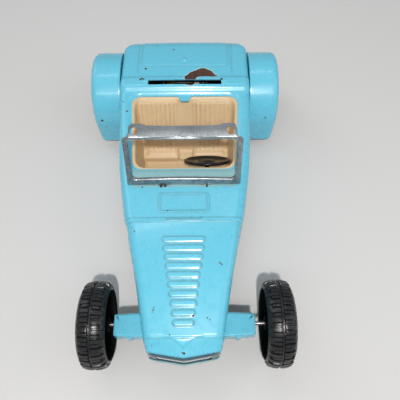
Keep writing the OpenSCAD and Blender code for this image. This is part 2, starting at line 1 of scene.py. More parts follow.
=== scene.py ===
import json
import math
import bmesh
import bpy
import numpy as np
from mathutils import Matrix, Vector


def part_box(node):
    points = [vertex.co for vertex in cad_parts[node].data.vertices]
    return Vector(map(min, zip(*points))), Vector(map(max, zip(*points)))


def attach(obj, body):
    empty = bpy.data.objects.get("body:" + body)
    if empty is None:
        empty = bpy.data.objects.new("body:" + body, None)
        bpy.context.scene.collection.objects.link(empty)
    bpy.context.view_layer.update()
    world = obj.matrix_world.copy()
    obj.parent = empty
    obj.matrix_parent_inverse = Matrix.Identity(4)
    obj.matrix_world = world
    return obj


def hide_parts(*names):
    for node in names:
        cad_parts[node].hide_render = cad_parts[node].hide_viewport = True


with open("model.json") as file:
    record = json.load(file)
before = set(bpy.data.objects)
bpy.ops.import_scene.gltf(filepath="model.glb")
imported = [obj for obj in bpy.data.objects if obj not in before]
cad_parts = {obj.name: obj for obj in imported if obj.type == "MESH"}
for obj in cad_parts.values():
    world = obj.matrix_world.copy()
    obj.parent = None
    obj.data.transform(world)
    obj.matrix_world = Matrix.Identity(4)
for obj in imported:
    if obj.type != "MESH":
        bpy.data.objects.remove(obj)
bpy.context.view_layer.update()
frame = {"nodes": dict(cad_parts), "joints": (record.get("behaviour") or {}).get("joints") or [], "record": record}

# Looks of a pressed-steel toy roadster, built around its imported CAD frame. Shapes are worked out in
# millimetres in the row frame (nose to -Y, car's own left +X, ground at Z = 0) and turned into
# metres when a mesh is made.

MM = 0.001
SHEET = 1.0  # thickness of the pressed body sheet


def box_mm(node):
    """Lowest and highest corner of a CAD node, in millimetres."""
    low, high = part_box(node)
    return np.array(low) / MM, np.array(high) / MM


# ---------------------------------------------------------------- plane geometry


def corner_points(a, b, c, radius, steps):
    """Points of a round corner at b between the edges to a and c."""
    if radius == 0:
        return [b]
    u = (a - b) / np.linalg.norm(a - b)
    v = (c - b) / np.linalg.norm(c - b)
    angle = math.acos(float(np.clip(u @ v, -1, 1)))
    turn = math.pi - angle
    w = (u + v) / np.linalg.norm(u + v)
    mid = b + w * radius / math.sin(angle / 2)
    reach = radius / math.tan(angle / 2)
    start, end = b + u * reach - mid, b + v * reach - mid
    return [
        mid + (math.sin(turn * (1 - k / steps)) * start + math.sin(turn * k / steps) * end) / math.sin(turn)
        for k in range(steps + 1)
    ]


def rounded(points, radii, steps=6):
    """Closed outline with each corner rounded by its own radius."""
    pts = [np.array(p, float) for p in points]
    if np.isscalar(radii):
        radii = [radii] * len(pts)
    out = []
    for k, p in enumerate(pts):
        out += corner_points(pts[k - 1], p, pts[(k + 1) % len(pts)], radii[k], steps)
    return np.array(out)


def circle(radius, steps, x=0.0, y=0.0):
    """Outline of a circle about a point."""
    turns = np.linspace(0, 2 * math.pi, steps + 1)[:-1]
    return [(x + radius * math.cos(a), y + radius * math.sin(a)) for a in turns]


def rectangle(low_x, low_y, high_x, high_y, radius, steps):
    """Outline of a rectangle with equal round corners."""
    return rounded([(low_x, low_y), (high_x, low_y), (high_x, high_y), (low_x, high_y)], radius, steps)


def smooth(low, high, x):
    """0 below low, 1 above high and a smooth step between."""
    t = np.clip((np.asarray(x, float) - low) / (high - low), 0, 1)
    return t * t * (3 - 2 * t)


def curve(table, x):
    """Monotone cubic curve through the (x, value) points of a table."""
    xs, ys = np.array(table, float).T
    h = np.diff(xs)
    d = np.diff(ys) / h
    same_way = d[:-1] * d[1:] > 0
    inner = np.where(same_way, 2 * d[:-1] * d[1:] / (d[:-1] + d[1:] + 1e-12), 0)
    m = np.concatenate([[d[0]], inner, [d[-1]]])
    x = np.clip(x, xs[0], xs[-1])
    k = np.clip(np.searchsorted(xs, x) - 1, 0, len(h) - 1)
    t = (x - xs[k]) / h[k]
    return (
        ys[k] * (1 + 2 * t) * (1 - t) ** 2
        + ys[k + 1] * t * t * (3 - 2 * t)
        + h[k] * (m[k] * t * (1 - t) ** 2 - m[k + 1] * t * t * (1 - t))
    )


def corner_distance(qx, qy):
    """Signed distance to a quarter plane from the distances to its two sides."""
    return np.hypot(np.maximum(qx, 0), np.maximum(qy, 0)) + np.minimum(np.maximum(qx, qy), 0)


def box_distance(x, y, half_x, half_y, radius):
    """Signed distance to a rounded rectangle centred on the origin."""
    qx = np.abs(x) - half_x + radius
    qy = np.abs(y) - half_y + radius
    return corner_distance(qx, qy) - radius


def outline_distance(x, y, outline):
    """Signed distance to a closed outline, negative inside."""
    best = np.full(np.shape(x), 1e9)
    inside = np.zeros(np.shape(x), bool)
    for a, b in zip(outline, np.roll(outline, -1, axis=0)):
        ex, ey = b - a
        wx, wy = x - a[0], y - a[1]
        t = np.clip((wx * ex + wy * ey) / (ex * ex + ey * ey), 0, 1)
        best = np.minimum(best, np.hypot(wx - t * ex, wy - t * ey))
        crosses = (a[1] > y) != (b[1] > y)
        inside ^= crosses & (wx < ex * wy / (ey if abs(ey) > 1e-12 else 1e-12))
    return np.where(inside, -best, best)


# ---------------------------------------------------------------- meshes


def mesh_object(name, verts, faces, sharp=38):
    """Smooth-shaded object from points in mm. Edges bent by more than sharp degrees stay crisp."""
    mesh = bpy.data.meshes.new(name)
    mesh.from_pydata((np.asarray(verts, float) * MM).tolist(), [], faces)
    mesh.validate()
    obj = bpy.data.objects.new(name, mesh)
    bpy.context.scene.collection.objects.link(obj)
    tidy(obj, sharp)
    return obj


def tidy(obj, sharp=38):
    """Welds, points the normals outwards and sets smooth shading with crisp corners."""
    bm = bmesh.new()
    bm.from_mesh(obj.data)
    bmesh.ops.remove_doubles(bm, verts=bm.verts, dist=1e-6)
    bmesh.ops.dissolve_degenerate(bm, edges=bm.edges, dist=1e-7)
    bmesh.ops.recalc_face_normals(bm, faces=bm.faces)
    bm.to_mesh(obj.data)
    bm.free()
    obj.data.shade_smooth()
    obj.data.set_sharp_from_angle(angle=math.radians(sharp))


def grid_faces(rows, cols, start=0, wrap_rows=False, wrap_cols=False, flip=False):
    """Quads of a rows by cols grid of points numbered row by row."""
    faces = []
    for i in range(rows if wrap_rows else rows - 1):
        a, b = start + i * cols, start + ((i + 1) % rows) * cols
        for j in range(cols if wrap_cols else cols - 1):
            k = (j + 1) % cols
            quad = (a + j, a + k, b + k, b + j)
            faces.append(quad[::-1] if flip else quad)
    return faces


def grid_normals(grid, wrap_rows=False, wrap_cols=False):
    """Unit normals of a grid of points, by central differences."""

    def slope(axis, wrap):
        if wrap:
            return np.roll(grid, -1, axis) - np.roll(grid, 1, axis)
        return np.gradient(grid, axis=axis)

    n = np.cross(slope(0, wrap_rows), slope(1, wrap_cols))
    return n / np.maximum(np.linalg.norm(n, axis=2, keepdims=True), 1e-9)


def sheet_from_grid(name, outer, inner, wrap_cols=False, sharp=38):
    """Closed sheet between two grids of the same shape, with its rims stitched."""
    rows, cols = outer.shape[:2]
    n = rows * cols
    faces = grid_faces(rows, cols, 0, wrap_cols=wrap_cols)
    faces += grid_faces(rows, cols, n, wrap_cols=wrap_cols, flip=True)
    rims = [[r * cols + c for c in range(cols)] for r in (0, rows - 1)]
    for rim in rims:
        loop = rim + rim[:1] if wrap_cols else rim
        faces += [(a, b, b + n, a + n) for a, b in zip(loop, loop[1:])]
    if not wrap_cols:
        for c in (0, cols - 1):
            side = [r * cols + c for r in range(rows)]
            faces += [(a, b, b + n, a + n) for a, b in zip(side, side[1:])]
    verts = np.concatenate([outer.reshape(-1, 3), inner.reshape(-1, 3)])
    return mesh_object(name, verts, faces, sharp)


def lathe(name, profile, steps, place, sharp):
    """Solid turned about Z from a closed profile of (radius, z), then put in place."""
    profile = np.array(profile, float)
    turn = np.linspace(0, 2 * math.pi, steps, endpoint=False)
    c, s = np.cos(turn)[:, None], np.sin(turn)[:, None]
    radius, height = profile[None, :, 0], profile[None, :, 1]
    verts = np.stack([radius * c, radius * s, height + 0 * c], axis=2).reshape(-1, 3)
    faces = grid_faces(steps, len(profile), wrap_rows=True, wrap_cols=True)
    return mesh_object(name, place(verts), faces, sharp)


def side_on(points):
    """Turns a prism of a Y and Z outline so that it runs along X."""
    return points[:, [2, 0, 1]]


def face_on(points):
    """Turns a prism of an X and Z outline so that it runs along Y."""
    return points[:, [0, 2, 1]]


def onto(item):
    """Moves points about Z to the place and axis of a joint or mount of the frame."""
    centre = np.array(item["pos_m"]) / MM
    turn = np.array(Vector(item["axis"]).to_track_quat("Z", "Y").to_matrix())
    return lambda points: points @ turn.T + centre


def prism(name, outline, low, high, place=None):
    """Solid with a flat outline in X and Y between two heights, then put in place."""
    n = len(outline)
    flat = np.asarray(outline, float)
    verts = np.concatenate([np.column_stack([flat, np.full(n, z)]) for z in (low, high)])
    if place is not None:
        verts = place(verts)
    faces = [tuple(range(n))[::-1], tuple(range(n, 2 * n))]
    faces += [(k, (k + 1) % n, n + (k + 1) % n, n + k) for k in range(n)]
    return mesh_object(name, verts, faces)


def join_by(obj, other, how, sharp=38):
    """Boolean of obj with other, which is used up."""
    mod = obj.modifiers.new("join", "BOOLEAN")
    mod.operation = how
    mod.solver = "MANIFOLD"
    mod.object = other
    bpy.context.view_layer.update()
    evaluated = obj.evaluated_get(bpy.context.evaluated_depsgraph_get())
    mesh = bpy.data.meshes.new_from_object(evaluated)
    obj.modifiers.clear()
    obj.data = mesh
    bpy.data.objects.remove(other)
    tidy(obj, sharp)
    return obj


def rotate_x(points, degrees):
    """Points turned about the X axis."""
    a = math.radians(degrees)
    x, y, z = np.asarray(points, float).T
    return np.column_stack([x, y * math.cos(a) - z * math.sin(a), y * math.sin(a) + z * math.cos(a)])


# ---------------------------------------------------------------- body shape

NOSE_Y = -137.6  # front face of the nose, at its middle
HOOD_Y = -122.0  # crease between the nose and the hood
COWL_Y = -43.0  # seam between the hood and the cowl
TAIL_Y = 140.0
SILL = 15.0  # height of the lower edge of the sides
NOSE_V = 0.17  # how far the nose runs back for each millimetre from the middle
LEAN = 0.2  # how far the sides lean in
CROWN = 0.6  # rise of the top from its corners to the middle
NOSE_BEND = 4.5
TAIL_BEND = 13.0

# (y, value) curves: half width, height of the top, height of the sill and radius of the corner
WIDTH = [
    (-139, 25.3), (-133, 26.2), (HOOD_Y, 27.7), (-110, 29.7), (-100, 31.4), (-90, 33.1), (-80, 35),
    (-70, 37.1), (-59.6, 39.3), (COWL_Y - 0.7, 42.3), (COWL_Y + 0.5, 43.2), (-26, 46.3), (-9, 49),
    (5, 50.8), (19, 52), (48, 53.6), (62, 54.4), (76, 54.8), (110, 55.1), (TAIL_Y, 55.2),
]
TOP = [
    (-139, 49.4), (-133, 52.6), (HOOD_Y - 0.8, 57.3), (HOOD_Y + 0.8, 57.9), (COWL_Y - 0.7, 67.5),
    (COWL_Y + 0.5, 67.3), (-9, 66.3), (19, 66), (70, 66.1), (75, 66.4), (79, 69.1), (82, 69.7),
    (87.5, 69.6), (91.5, 67.9), (95, 67.6), (103, 67.2), (115, 66), (128, 64), (TAIL_Y, 61.5),
]
SILL_AT = [(-150, 31), (HOOD_Y, 28), (-60, 17.6), (COWL_Y, SILL), (TAIL_Y, SILL)]
CORNER = [(-139, 4), (HOOD_Y, 5.8), (COWL_Y, 7), (19, 6.5), (62, 5), (76, 4.8), (100, 4.6), (TAIL_Y, 5.5)]
COCKPIT = [(-39.8, 1), (39.8, 1), (44.4, 72), (5.6, 72), (2.6, 65.6), (-2.6, 65.6), (-5.6, 72), (-44.4, 72)]
COCKPIT_ROUND = [8.5, 8.5, 8, 2.4, 0.8, 0.8, 2.4, 8]
SLOT_Y = 83.0
SLOT_HALF = (30.7, 2.5)
LOUVERS, LOUVER_Y, LOUVER_PITCH = 10, -58.0, 6.3


def body_stations():
    """(y, inset across, inset down) of every body section, from the nose face to the tail face."""
    quarter = math.pi / 2
    out = [(NOSE_Y, NOSE_BEND + k, 2 + k) for k in np.linspace(17, 0.8, 12)]
    for a in np.linspace(0, quarter, 9):
        down = 2 * max(0, 1 - math.sin(min(a * 1.9, quarter)))
        out.append((NOSE_Y + NOSE_BEND * (1 - math.cos(a)), NOSE_BEND * (1 - math.sin(a)), down))
    spans = [
        (NOSE_Y + NOSE_BEND, -124, 0.8), (-124, -119.5, 0.35), (-119.5, -55, 0.45), (-55, -46, 1.2),
        (-46, -39.5, 0.3), (-39.5, -18, 0.6), (-18, 72, 1.6), (72, 98, 0.6), (98, 126, 0.9),
    ]
    for a, b, step in spans:
        n = max(2, round((b - a) / step))
        out += [(y, 0.0, 0.0) for y in np.linspace(a, b, n, endpoint=False)]
    for a in np.linspace(0, quarter, 16):
        inset = 1 - math.cos(a)
        out.append((TAIL_Y - TAIL_BEND * (1 - math.sin(a)), TAIL_BEND * inset, 6 * inset))
    out += [(TAIL_Y, TAIL_BEND + k, 6 + k * 0.82) for k in np.linspace(1, 39, 14)]
    return np.array(out)


def body_ring(y, across, down, sides=8, arc=8, top=46):
    """Points of one inverted-U section: right sill, over the top, left sill."""
    half = curve(WIDTH, y) - across
    crest = curve(TOP, y) - down
    low = curve(SILL_AT, y)
    r = min(curve(CORNER, y), 0.45 * half, 0.45 * (crest - low))
    cx, cz = half - LEAN - r, crest - CROWN - r
    t = np.linspace(0, 1, sides, endpoint=False)
    side = np.column_stack([half - LEAN * t, low + (cz - low) * t])
    a = np.linspace(0, math.pi / 2, arc, endpoint=False)
    bend = np.column_stack([cx + r * np.cos(a), cz + r * np.sin(a)])
    x = cx * np.linspace(1, 0, top)
    lid = np.column_stack([x, crest - CROWN * (x / max(cx, 1e-6)) ** 2])
    right = np.concatenate([side, bend, lid])
    left = right[-2::-1] * [-1, 1]
    ring = np.concatenate([right, left])
    return np.column_stack([ring[:, 0], np.full(len(ring), y), ring[:, 1]])


NOSE_PEAK = np.array([(-8.3, -123.6), (8.3, -123.6), (0, -130.0)])
RUST_OUTLINE = np.array([  # crescent behind the deck slot
    (0.5, 80), (0.2, 90.3), (4.5, 95), (15.5, 100.5), (22.5, 96.7), (27.3, 90), (23, 89.4), (18, 91),
    (13, 89.6), (9.5, 87.3), (6.5, 80),
])


def pressed_details(x, y):
    """Signed distances to the louvers, the cowl bead, the seam bar and the trunk panel."""
    louver = np.full_like(x, 1e9)
    for k in range(LOUVERS):
        d = box_distance(x, y - LOUVER_Y + LOUVER_PITCH * k, 15.2 - 0.9 * k, 2.1, 2.1)
        louver = np.minimum(louver, d)
    bead = np.abs(box_distance(x, y + 29, 17.8, 7.3, 2.4))
    bar = box_distance(x, y - COWL_Y - 0.2, 13, 1.1, 0.6)
    panel = box_distance(x, y - 132, 37, 29, 4)
    return louver, bead, bar, panel


def line_at(offset, width):
    """1 along a line and falling off on both sides of it."""
    return np.exp(-((offset / width) ** 2))


def crease_dirt_and_shade(x, y):
    """How much dirt and painted shade darken the creases and edges of the pressed details, from 0 to 1."""
    louver, bead, bar, panel = pressed_details(x, y)
    tab_slot = box_distance(np.abs(x) - 15, y + 14.6, 4.6, 0.9, 0.5)
    # Each line darkens a crease or edge, partly with settled dirt and partly with painted shade; the uncut tab
    # slots are painted dark all over as painted shade.
    return np.maximum.reduce([
        line_at(louver - 0.1, 0.55),
        0.75 * line_at(bead - 1.0, 0.45),
        0.8 * line_at(y - COWL_Y + 1.6, 0.45),
        0.8 * line_at(y - COWL_Y - 1.9, 0.45),
        0.6 * (1 - smooth(-0.4, 0.5, bar)),
        0.7 * line_at(np.abs(x) - 40.5, 0.6) * smooth(93.5, 95, y),
        0.6 * line_at(panel - 0.5, 0.5),
        0.6 * line_at(y + 123.9, 0.45),
        1 - smooth(0.0, 1.0, tab_slot),
    ])


def add_field(obj, name, values):
    """Stores one number per vertex for a material to read."""
    layer = obj.data.attributes.new(name, "FLOAT", "POINT")
    layer.data.foreach_set("value", np.asarray(values, np.float32).ravel())


def vertices_mm(obj):
    """Places of an object's vertices, in millimetres."""
    out = np.empty(len(obj.data.vertices) * 3)
    obj.data.vertices.foreach_get("co", out)
    return out.reshape(-1, 3) / MM


def emboss(x, y):
    """Height of the pressed details above the plain body surface."""
    louver, bead, bar, panel = pressed_details(x, y)
    peak = outline_distance(x, y, NOSE_PEAK)
    back = y - 109.6
    handle = np.hypot(x / (2.1 - 0.30 * np.clip(back, 0, 6)), back / np.where(back > 0, 5.4, 2.1)) - 1
    rim = outline_distance(x, y, rounded(COCKPIT[:3] + COCKPIT[-1:], [8.5, 8.5, 8, 8]))
    h = 0.5 * (1 - smooth(-1.1, 0.45, louver))
    h += 0.45 * (1 - smooth(0.2, 1.3, bead))
    h += 0.35 * (1 - smooth(-0.5, 0.3, bar))
    h += 0.3 * (smooth(COWL_Y - 2, COWL_Y - 1.3, y) - smooth(COWL_Y + 1.4, COWL_Y + 2.1, y))
    h += 0.5 * (1 - smooth(-1.0, 0.3, peak))
    h += 0.25 * line_at(y + 122.6, 0.7) * (1 - smooth(12, 14, np.abs(x)))
    h += 0.5 * (1 - smooth(-0.9, 0.5, panel))
    h -= 0.3 * line_at(np.abs(x) - 40.5, 0.55) * smooth(93.5, 95, y)
    h += 1.1 * (1 - smooth(-0.8, 0.15, handle))
    h += 0.8 * line_at(np.abs(x) - 33.4, 1.6) * line_at(y - SLOT_Y - 1.4, 1.0)
    h -= 1.5 * (1 - smooth(0.2, 3.6, rim)) * (rim > -6)
    return h


def upright_normals(grid):
    """Grid normals that point up on the top of the body."""
    normal = grid_normals(grid)
    return normal * np.sign(normal[len(grid) // 2, grid.shape[1] // 2, 2])


def make_body():
    """The blue pressing from nose to tail."""
    grid = np.array([body_ring(*s) for s in body_stations()])
    x, y = grid[..., 0], grid[..., 1]
    pull = 1 - smooth(-134, -123, y)
    grid[..., 1] = y + pull * NOSE_V * np.sqrt(x * x + 1.5)
    normal = upright_normals(grid)
    upward = smooth(0.55, 0.85, normal[..., 2])
    grid = grid + normal * (emboss(x, y) * upward)[..., None]
    body = sheet_from_grid("body_pressing", grid, grid - upright_normals(grid) * SHEET, sharp=50)
    half_x, half_y = SLOT_HALF
    slot = rectangle(-half_x, SLOT_Y - half_y, half_x, SLOT_Y + half_y, 0.5, 4)
    grille = rounded([(-18.5, 36.5), (18.5, 36.5), (20, 48.2), (-20, 48.2)], [2, 2, 2.5, 2.5])
    beam_top = box_mm("front_axle_beam")[1][2] + 0.4
    notch = [(-118.9, 0), (-100.6, 0), (-100.6, beam_top), (-118.9, beam_top)]
    axle = box_mm("rear_axle")
    ay, az = (axle[0] + axle[1])[1:] / 2
    arch = [(ay + 3 * math.cos(a), az + 3 * math.sin(a)) for a in np.linspace(0, math.pi, 13)]
    arch += [(ay - 3, 5), (ay + 3, 5)]
    for outline, low, high, place in (
        (rounded(COCKPIT, COCKPIT_ROUND, 10), 55, 80, None),
        (slot, 60, 80, None),
        (grille, -160, -125, face_on),
        (notch, -60, 60, side_on),
        (arch, -70, 70, side_on),
    ):
        join_by(body, prism("cut", outline, low, high, place), "DIFFERENCE")
    join_by(body, nose_lip(), "UNION")
    add_body_fields(body)
    return body


def add_body_fields(body):
    """Dirt and painted shade in the creases, painted shade on the nose face, a greyer strip under the windshield
    with a painted highlight on the lip bar, and distance to the rusted patch.
    """
    x, y, z = vertices_mm(body).T
    face = y - NOSE_V * np.sqrt(x * x + 1.5)
    lip = (z > 32) & (z < 36.2) & (face < NOSE_Y - 0.15)
    strip = box_distance(x, y + 7.5, 39, 8, 1)
    add_field(body, "dirt_and_shade", crease_dirt_and_shade(x, y) * smooth(44, 50, z))
    # Painted shade and dark reflection on the nose's front face below z 52, except on the lip bar.
    add_field(body, "nose_face_shade", (1 - smooth(-136.1, -135.4, face)) * (z < 52) * ~lip)
    # The lip bar is painted paler all over as a painted highlight; the cowl strip under the windshield is painted
    # greyer.
    add_field(body, "strip_grey_lip_highlight", np.where(lip, 1, 0.8 * (1 - smooth(-0.6, 0.6, strip)) * (z > 60)))
    add_field(body, "rust", np.where(z > 60, outline_distance(x, y, RUST_OUTLINE), 9))


def nose_lip():
    """Rolled bar under the nose opening that follows the same shallow V."""
    bend = [(-24.0, -132.6), (-22.6, -133.9), (-20, -134.6), (0, NOSE_Y - 0.3), (20, -134.6),
            (22.6, -133.9), (24.0, -132.6)]
    rows = []
    for (x, y), (dx, dy) in zip(bend, np.gradient(np.array(bend), axis=0)):
        ahead = np.array([dy, -dx]) / math.hypot(dx, dy)
        rows.append([
            (x + ahead[0] * 0.7 * c, y + ahead[1] * 0.7 * c, 34.4 + 1.3 * s) for c, s in circle(1, 16)
        ])
    grid = np.array(rows)
    n, cols = grid.shape[:2]
    ends = [tuple(range(cols)), tuple(range((n - 1) * cols, n * cols))[::-1]]
    return mesh_object("lip", grid.reshape(-1, 3), grid_faces(n, cols, 0, wrap_cols=True) + ends, 60)


# ---------------------------------------------------------------- voxel surfaces


def neighbours(axis):
    """Index pairs of each grid point and the next one along an axis."""
    first, second = [slice(None)] * 3, [slice(None)] * 3
    first[axis], second[axis] = slice(0, -1), slice(1, None)
    return tuple(first), tuple(second)


def surface_net(name, field, origin, step, sharp):
    """Closed mesh of the zero level of a field sampled on a grid, negative inside."""
    inside = field < 0
    verts_at = -np.ones(np.array(field.shape) - 1, int)
    total = np.zeros((*verts_at.shape, 3))
    count = np.zeros(verts_at.shape)
    for axis in range(3):
        a, b = neighbours(axis)
        fa, fb = field[a], field[b]
        crossing = inside[a] != inside[b]
        t = np.where(crossing, fa / np.where(crossing, fa - fb, 1), 0)
        others = [k for k in range(3) if k != axis]
        for i in (0, 1):
            for j in (0, 1):
                window = [slice(0, verts_at.shape[k]) for k in range(3)]
                shift = [0, 0, 0]
                window[others[0]] = slice(i, i + verts_at.shape[others[0]])
                window[others[1]] = slice(j, j + verts_at.shape[others[1]])
                shift[others[0]], shift[others[1]] = i, j
                hit = crossing[tuple(window)]
                count += hit
                total[..., axis] += t[tuple(window)] * hit
                for k in others:
                    total[..., k] += shift[k] * hit
    used = count > 0
    verts_at[used] = np.arange(used.sum())
    cells = np.argwhere(used)
    verts = origin + step * (cells + total[used] / count[used][:, None])
    faces = []
    for axis in range(3):
        o1, o2 = [(1, 2), (2, 0), (0, 1)][axis]
        a, b = neighbours(axis)
        here, there = inside[a], inside[b]
        edge = np.argwhere(here != there)
        keep = (edge[:, o1] > 0) & (edge[:, o2] > 0)
        keep &= (edge[:, o1] < field.shape[o1] - 1) & (edge[:, o2] < field.shape[o2] - 1)
        edge = edge[keep]
        outward = here[tuple(edge.T)]
        corners = []
        for i, j in ((-1, -1), (0, -1), (0, 0), (-1, 0)):
            cell = edge.copy()
            cell[:, o1] += i
            cell[:, o2] += j
            corners.append(verts_at[tuple(cell.T)])
        quads = np.stack(corners, axis=1)
        quads[~outward] = quads[~outward, ::-1]
        faces += quads.tolist()
    return mesh_object(name, verts, faces, sharp)


def round_box(x, y, z, half, radius):
    """Signed distance to a rounded box centred on the origin."""
    q = [np.abs(v) - h + radius for v, h in zip((x, y, z), half)]
    out = np.sqrt(sum(np.maximum(v, 0) ** 2 for v in q))
    return out + np.minimum(np.maximum.reduce(q), 0) - radius


def soft_max(a, b, radius):
    """Larger of two fields, with the edge where they cross rounded."""
    h = np.maximum(radius - np.abs(a - b), 0) / radius
    return np.maximum(a, b) + h * h * radius / 4


# ---------------------------------------------------------------- interior

TUB_TOP = 63.8
TUB_FLOOR = 19.2
SEAT_FOOT = (44.5, 27.0)  # y and z where the backrest meets the cushion
SEAT_HEAD = (68.2, 62.4)  # y and z of the backrest's upper edge
FLUTE_FIRST, FLUTE_PITCH = 11.0, 3.95


def flutes(x, along, top):
    """Height of the rounded vertical ribs of a seat back."""
    side = np.abs(x)
    k = np.clip(np.round((side - FLUTE_FIRST) / FLUTE_PITCH), 0, 6)
    off = (side - FLUTE_FIRST - k * FLUTE_PITCH) / (FLUTE_PITCH / 2)
    rib = np.sqrt(np.clip(1 - off ** 2, 0, 1))
    cap = np.clip((along - (top - 2.4)) / 2.4, 0, 1)
    return 1.5 * rib * np.sqrt(1 - cap ** 2) * (side > FLUTE_FIRST - FLUTE_PITCH / 2)


def tub_cavity(x, y, z):
    """Signed distance to the hollow of the tub, negative in the open space."""
    up = (z - TUB_FLOOR) / (TUB_TOP - TUB_FLOOR)
    forward = y - 3.5
    half = (34.6 + 0.045 * forward) * (1 - up) + (37.5 + 0.064 * forward) * up
    front = 6.5 - 3.2 * up
    slope = math.atan2(SEAT_HEAD[1] - SEAT_FOOT[1], SEAT_HEAD[0] - SEAT_FOOT[0])
    lift = -(y - SEAT_FOOT[0]) * math.sin(slope) + (z - SEAT_FOOT[1]) * math.cos(slope)
    along = (y - SEAT_FOOT[0]) * math.cos(slope) + (z - SEAT_FOOT[1]) * math.sin(slope)
    top = math.hypot(SEAT_HEAD[0] - SEAT_FOOT[0], SEAT_HEAD[1] - SEAT_FOOT[1])
    radius = 5.5 + 2.5 * up
    qx = np.abs(x) - half + radius
    qy = np.maximum(front - y, -lift - 1.9) + radius
    wall = corner_distance(qx, qy) - radius
    hollow = soft_max(wall, TUB_FLOOR - z, 4)
    pad = box_distance(np.abs(x) - 23.2, along - top / 2 + 6, 17.4, top / 2 + 6, 3.2)
    raised = 1.5 * (1 - smooth(-2.2, 0.6, pad)) - 1.9
    raised += flutes(x, along, top) * (1 - smooth(-1.2, 0.2, pad))
    hollow = soft_max(hollow, raised - lift, 1.6)
    plain = round_box(np.abs(x) - 21.6, y - 46, z - 20.6, (15.9, 10.4, 5.5), 2.8)
    crown = round_box(np.abs(x) - 20.4, y - 46, z - 21.4, (13.4, 7.6, 5.9), 2.6)
    ribs = 0.5 * flutes(x, 0 * x, 9) * smooth(41.6, 44, y)
    hollow = soft_max(hollow, -plain, 1.4)
    hollow = soft_max(hollow, -crown + ribs, 1.2)
    box = round_box(x, y - 50, z - 20.4, (5.4, 14, 3.6), 1.4)
    return soft_max(hollow, -box, 1)


def make_tub():
    """Moulded shell with the seats, the floor and a flat rim under the body's opening."""
    step = 0.5
    low = np.array([-47.5, -2.5, 16.0])
    high = np.array([47.5, 77.5, TUB_TOP + 1])
    axes = [np.arange(a, b + step, step) for a, b in zip(low, high)]
    x, y, z = np.meshgrid(*axes, indexing="ij")
    cavity = tub_cavity(x, y, z)
    lip = np.clip(z - (TUB_TOP - 1.6), 0, None)
    cavity = cavity - 0.4 * lip ** 2
    shell = np.maximum(cavity - 1.6, -cavity)
    rim_out = outline_distance(x, y, rounded([(-41.6, -1), (41.6, -1), (46.4, 75.5), (-46.4, 75.5)], 9, 6))
    rim = np.maximum(np.maximum(np.abs(z - (TUB_TOP - 0.8)) - 0.8, rim_out), -cavity)
    solid = np.minimum(shell, rim)
    solid = np.maximum(solid, z - TUB_TOP)
    solid = np.maximum(solid, rim_out)
    return surface_net("seat_tub", solid, low, step, 60)


# ---------------------------------------------------------------- fenders


def fender_skin(fender_low, fender_high, axle):
    """Arched sheet of the left fender, as two grids: outer and inner face."""
    radius = fender_high[2] - axle[2]
    wall_x, out_x = fender_low[0] + 0.1, fender_high[0]
    front_drop, rear_drop = axle[2] - fender_low[2], axle[2] - 17
    path = [(-1, 0, -d) for d in np.linspace(front_drop, 0, 12, endpoint=False)]
    path += [(-math.cos(a), math.sin(a), 0) for a in np.linspace(0, math.pi, 73)]
    path += [(1, 0, -d) for d in np.linspace(0, rear_drop, 9)[1:]]
    edge, inner_edge = 5.2, 0.5
    quarter = math.pi / 2
    section = [(wall_x + inner_edge * (1 - math.sin(a)), -inner_edge * (1 - math.cos(a)), quarter + a)
               for a in np.linspace(quarter, 0, 5)]
    section += [(x, 0.0, quarter) for x in np.linspace(wall_x + inner_edge, out_x - edge, 15)[1:-1]]
    section += [(out_x - edge + edge * math.sin(a), -edge * (1 - math.cos(a)), quarter - a)
                for a in np.linspace(0, quarter, 12)]
    section += [(out_x, -edge - d, 0.0) for d in (0.8, 1.6)]
    outer, inner = [], []
    for ny, nz, drop in path:
        lowness = np.clip((axle[2] + radius * nz + drop - fender_low[2]) / (radius * 1.4), 0, 1)
        taper = 1 - (0.06 if ny < 0 else 0.03) * (1 - lowness) ** 1.6
        for rows, thick in ((outer, 0), (inner, SHEET)):
            rows.append([
                (wall_x + (x - thick * math.cos(t) - wall_x) * taper,
                 axle[1] + ny * (radius + b - thick * math.sin(t)),
                 axle[2] + nz * (radius + b - thick * math.sin(t)) + drop)
                for x, b, t in section
            ])
    return np.array(outer), np.array(inner)


def make_fender(side):
    """Arched pressing with a flat inner wall that lies on the body side."""
    name = "left" if side > 0 else "right"
    low, high = box_mm("rear_fender_left")
    axle = sum(box_mm("rear_axle")) / 2
    outer, inner = fender_skin(low, high, axle)
    mirror = np.array([side, 1, 1])
    skin = sheet_from_grid("fender_" + name, outer * mirror, inner * mirror, sharp=45)
    radius = high[2] - axle[2] - 0.9
    y, z = axle[1:]
    arc = [(y + radius * math.cos(a), z + radius * math.sin(a)) for a in np.linspace(0, math.pi, 61)]
    foot = [(y - radius, low[2] + 0.4), (y - radius + 4, low[2] + 0.4), (y - 24, 16.5), (y - 3.2, 16.5),
            (y - 3.2, z), (y + 3.2, z), (y + 3.2, 17.4), (y + radius, 17.4)]
    wall = prism("wall", arc + foot, low[0], low[0] + SHEET, lambda p: side_on(p) * mirror)
    return join_by(skin, wall, "UNION", 45)


# ---------------------------------------------------------------- windshield

PANE_Y, PANE_Z = -14.2, 66.95  # foot of the pane's front face
PANE_LEAN = 23.0  # degrees from upright
PANE_T = 0.9
FOLD_ANGLE = 47.0  # degrees from the pane to the flange


def to_pane(points):
    """Puts points of the upright pane (X across, Y back, Z up the slope) in place."""
    return rotate_x(points, -PANE_LEAN) + [0, PANE_Y, PANE_Z]


def loop_outline(points, radii, corner_steps, side_steps):
    """Rounded closed outline with as many points at each corner, and along each side, as the others."""
    pts = [np.array(p, float) for p in points]
    out = []
    corners = [corner_points(pts[k - 1], p, pts[(k + 1) % len(pts)], radii[k], corner_steps)
               for k, p in enumerate(pts)]
    for k, corner in enumerate(corners):
        start = corners[(k + 1) % len(corners)][0]
        out += corner
        out += [corner[-1] + (start - corner[-1]) * t for t in np.linspace(0, 1, side_steps + 1)[1:-1]]
    return np.array(out)


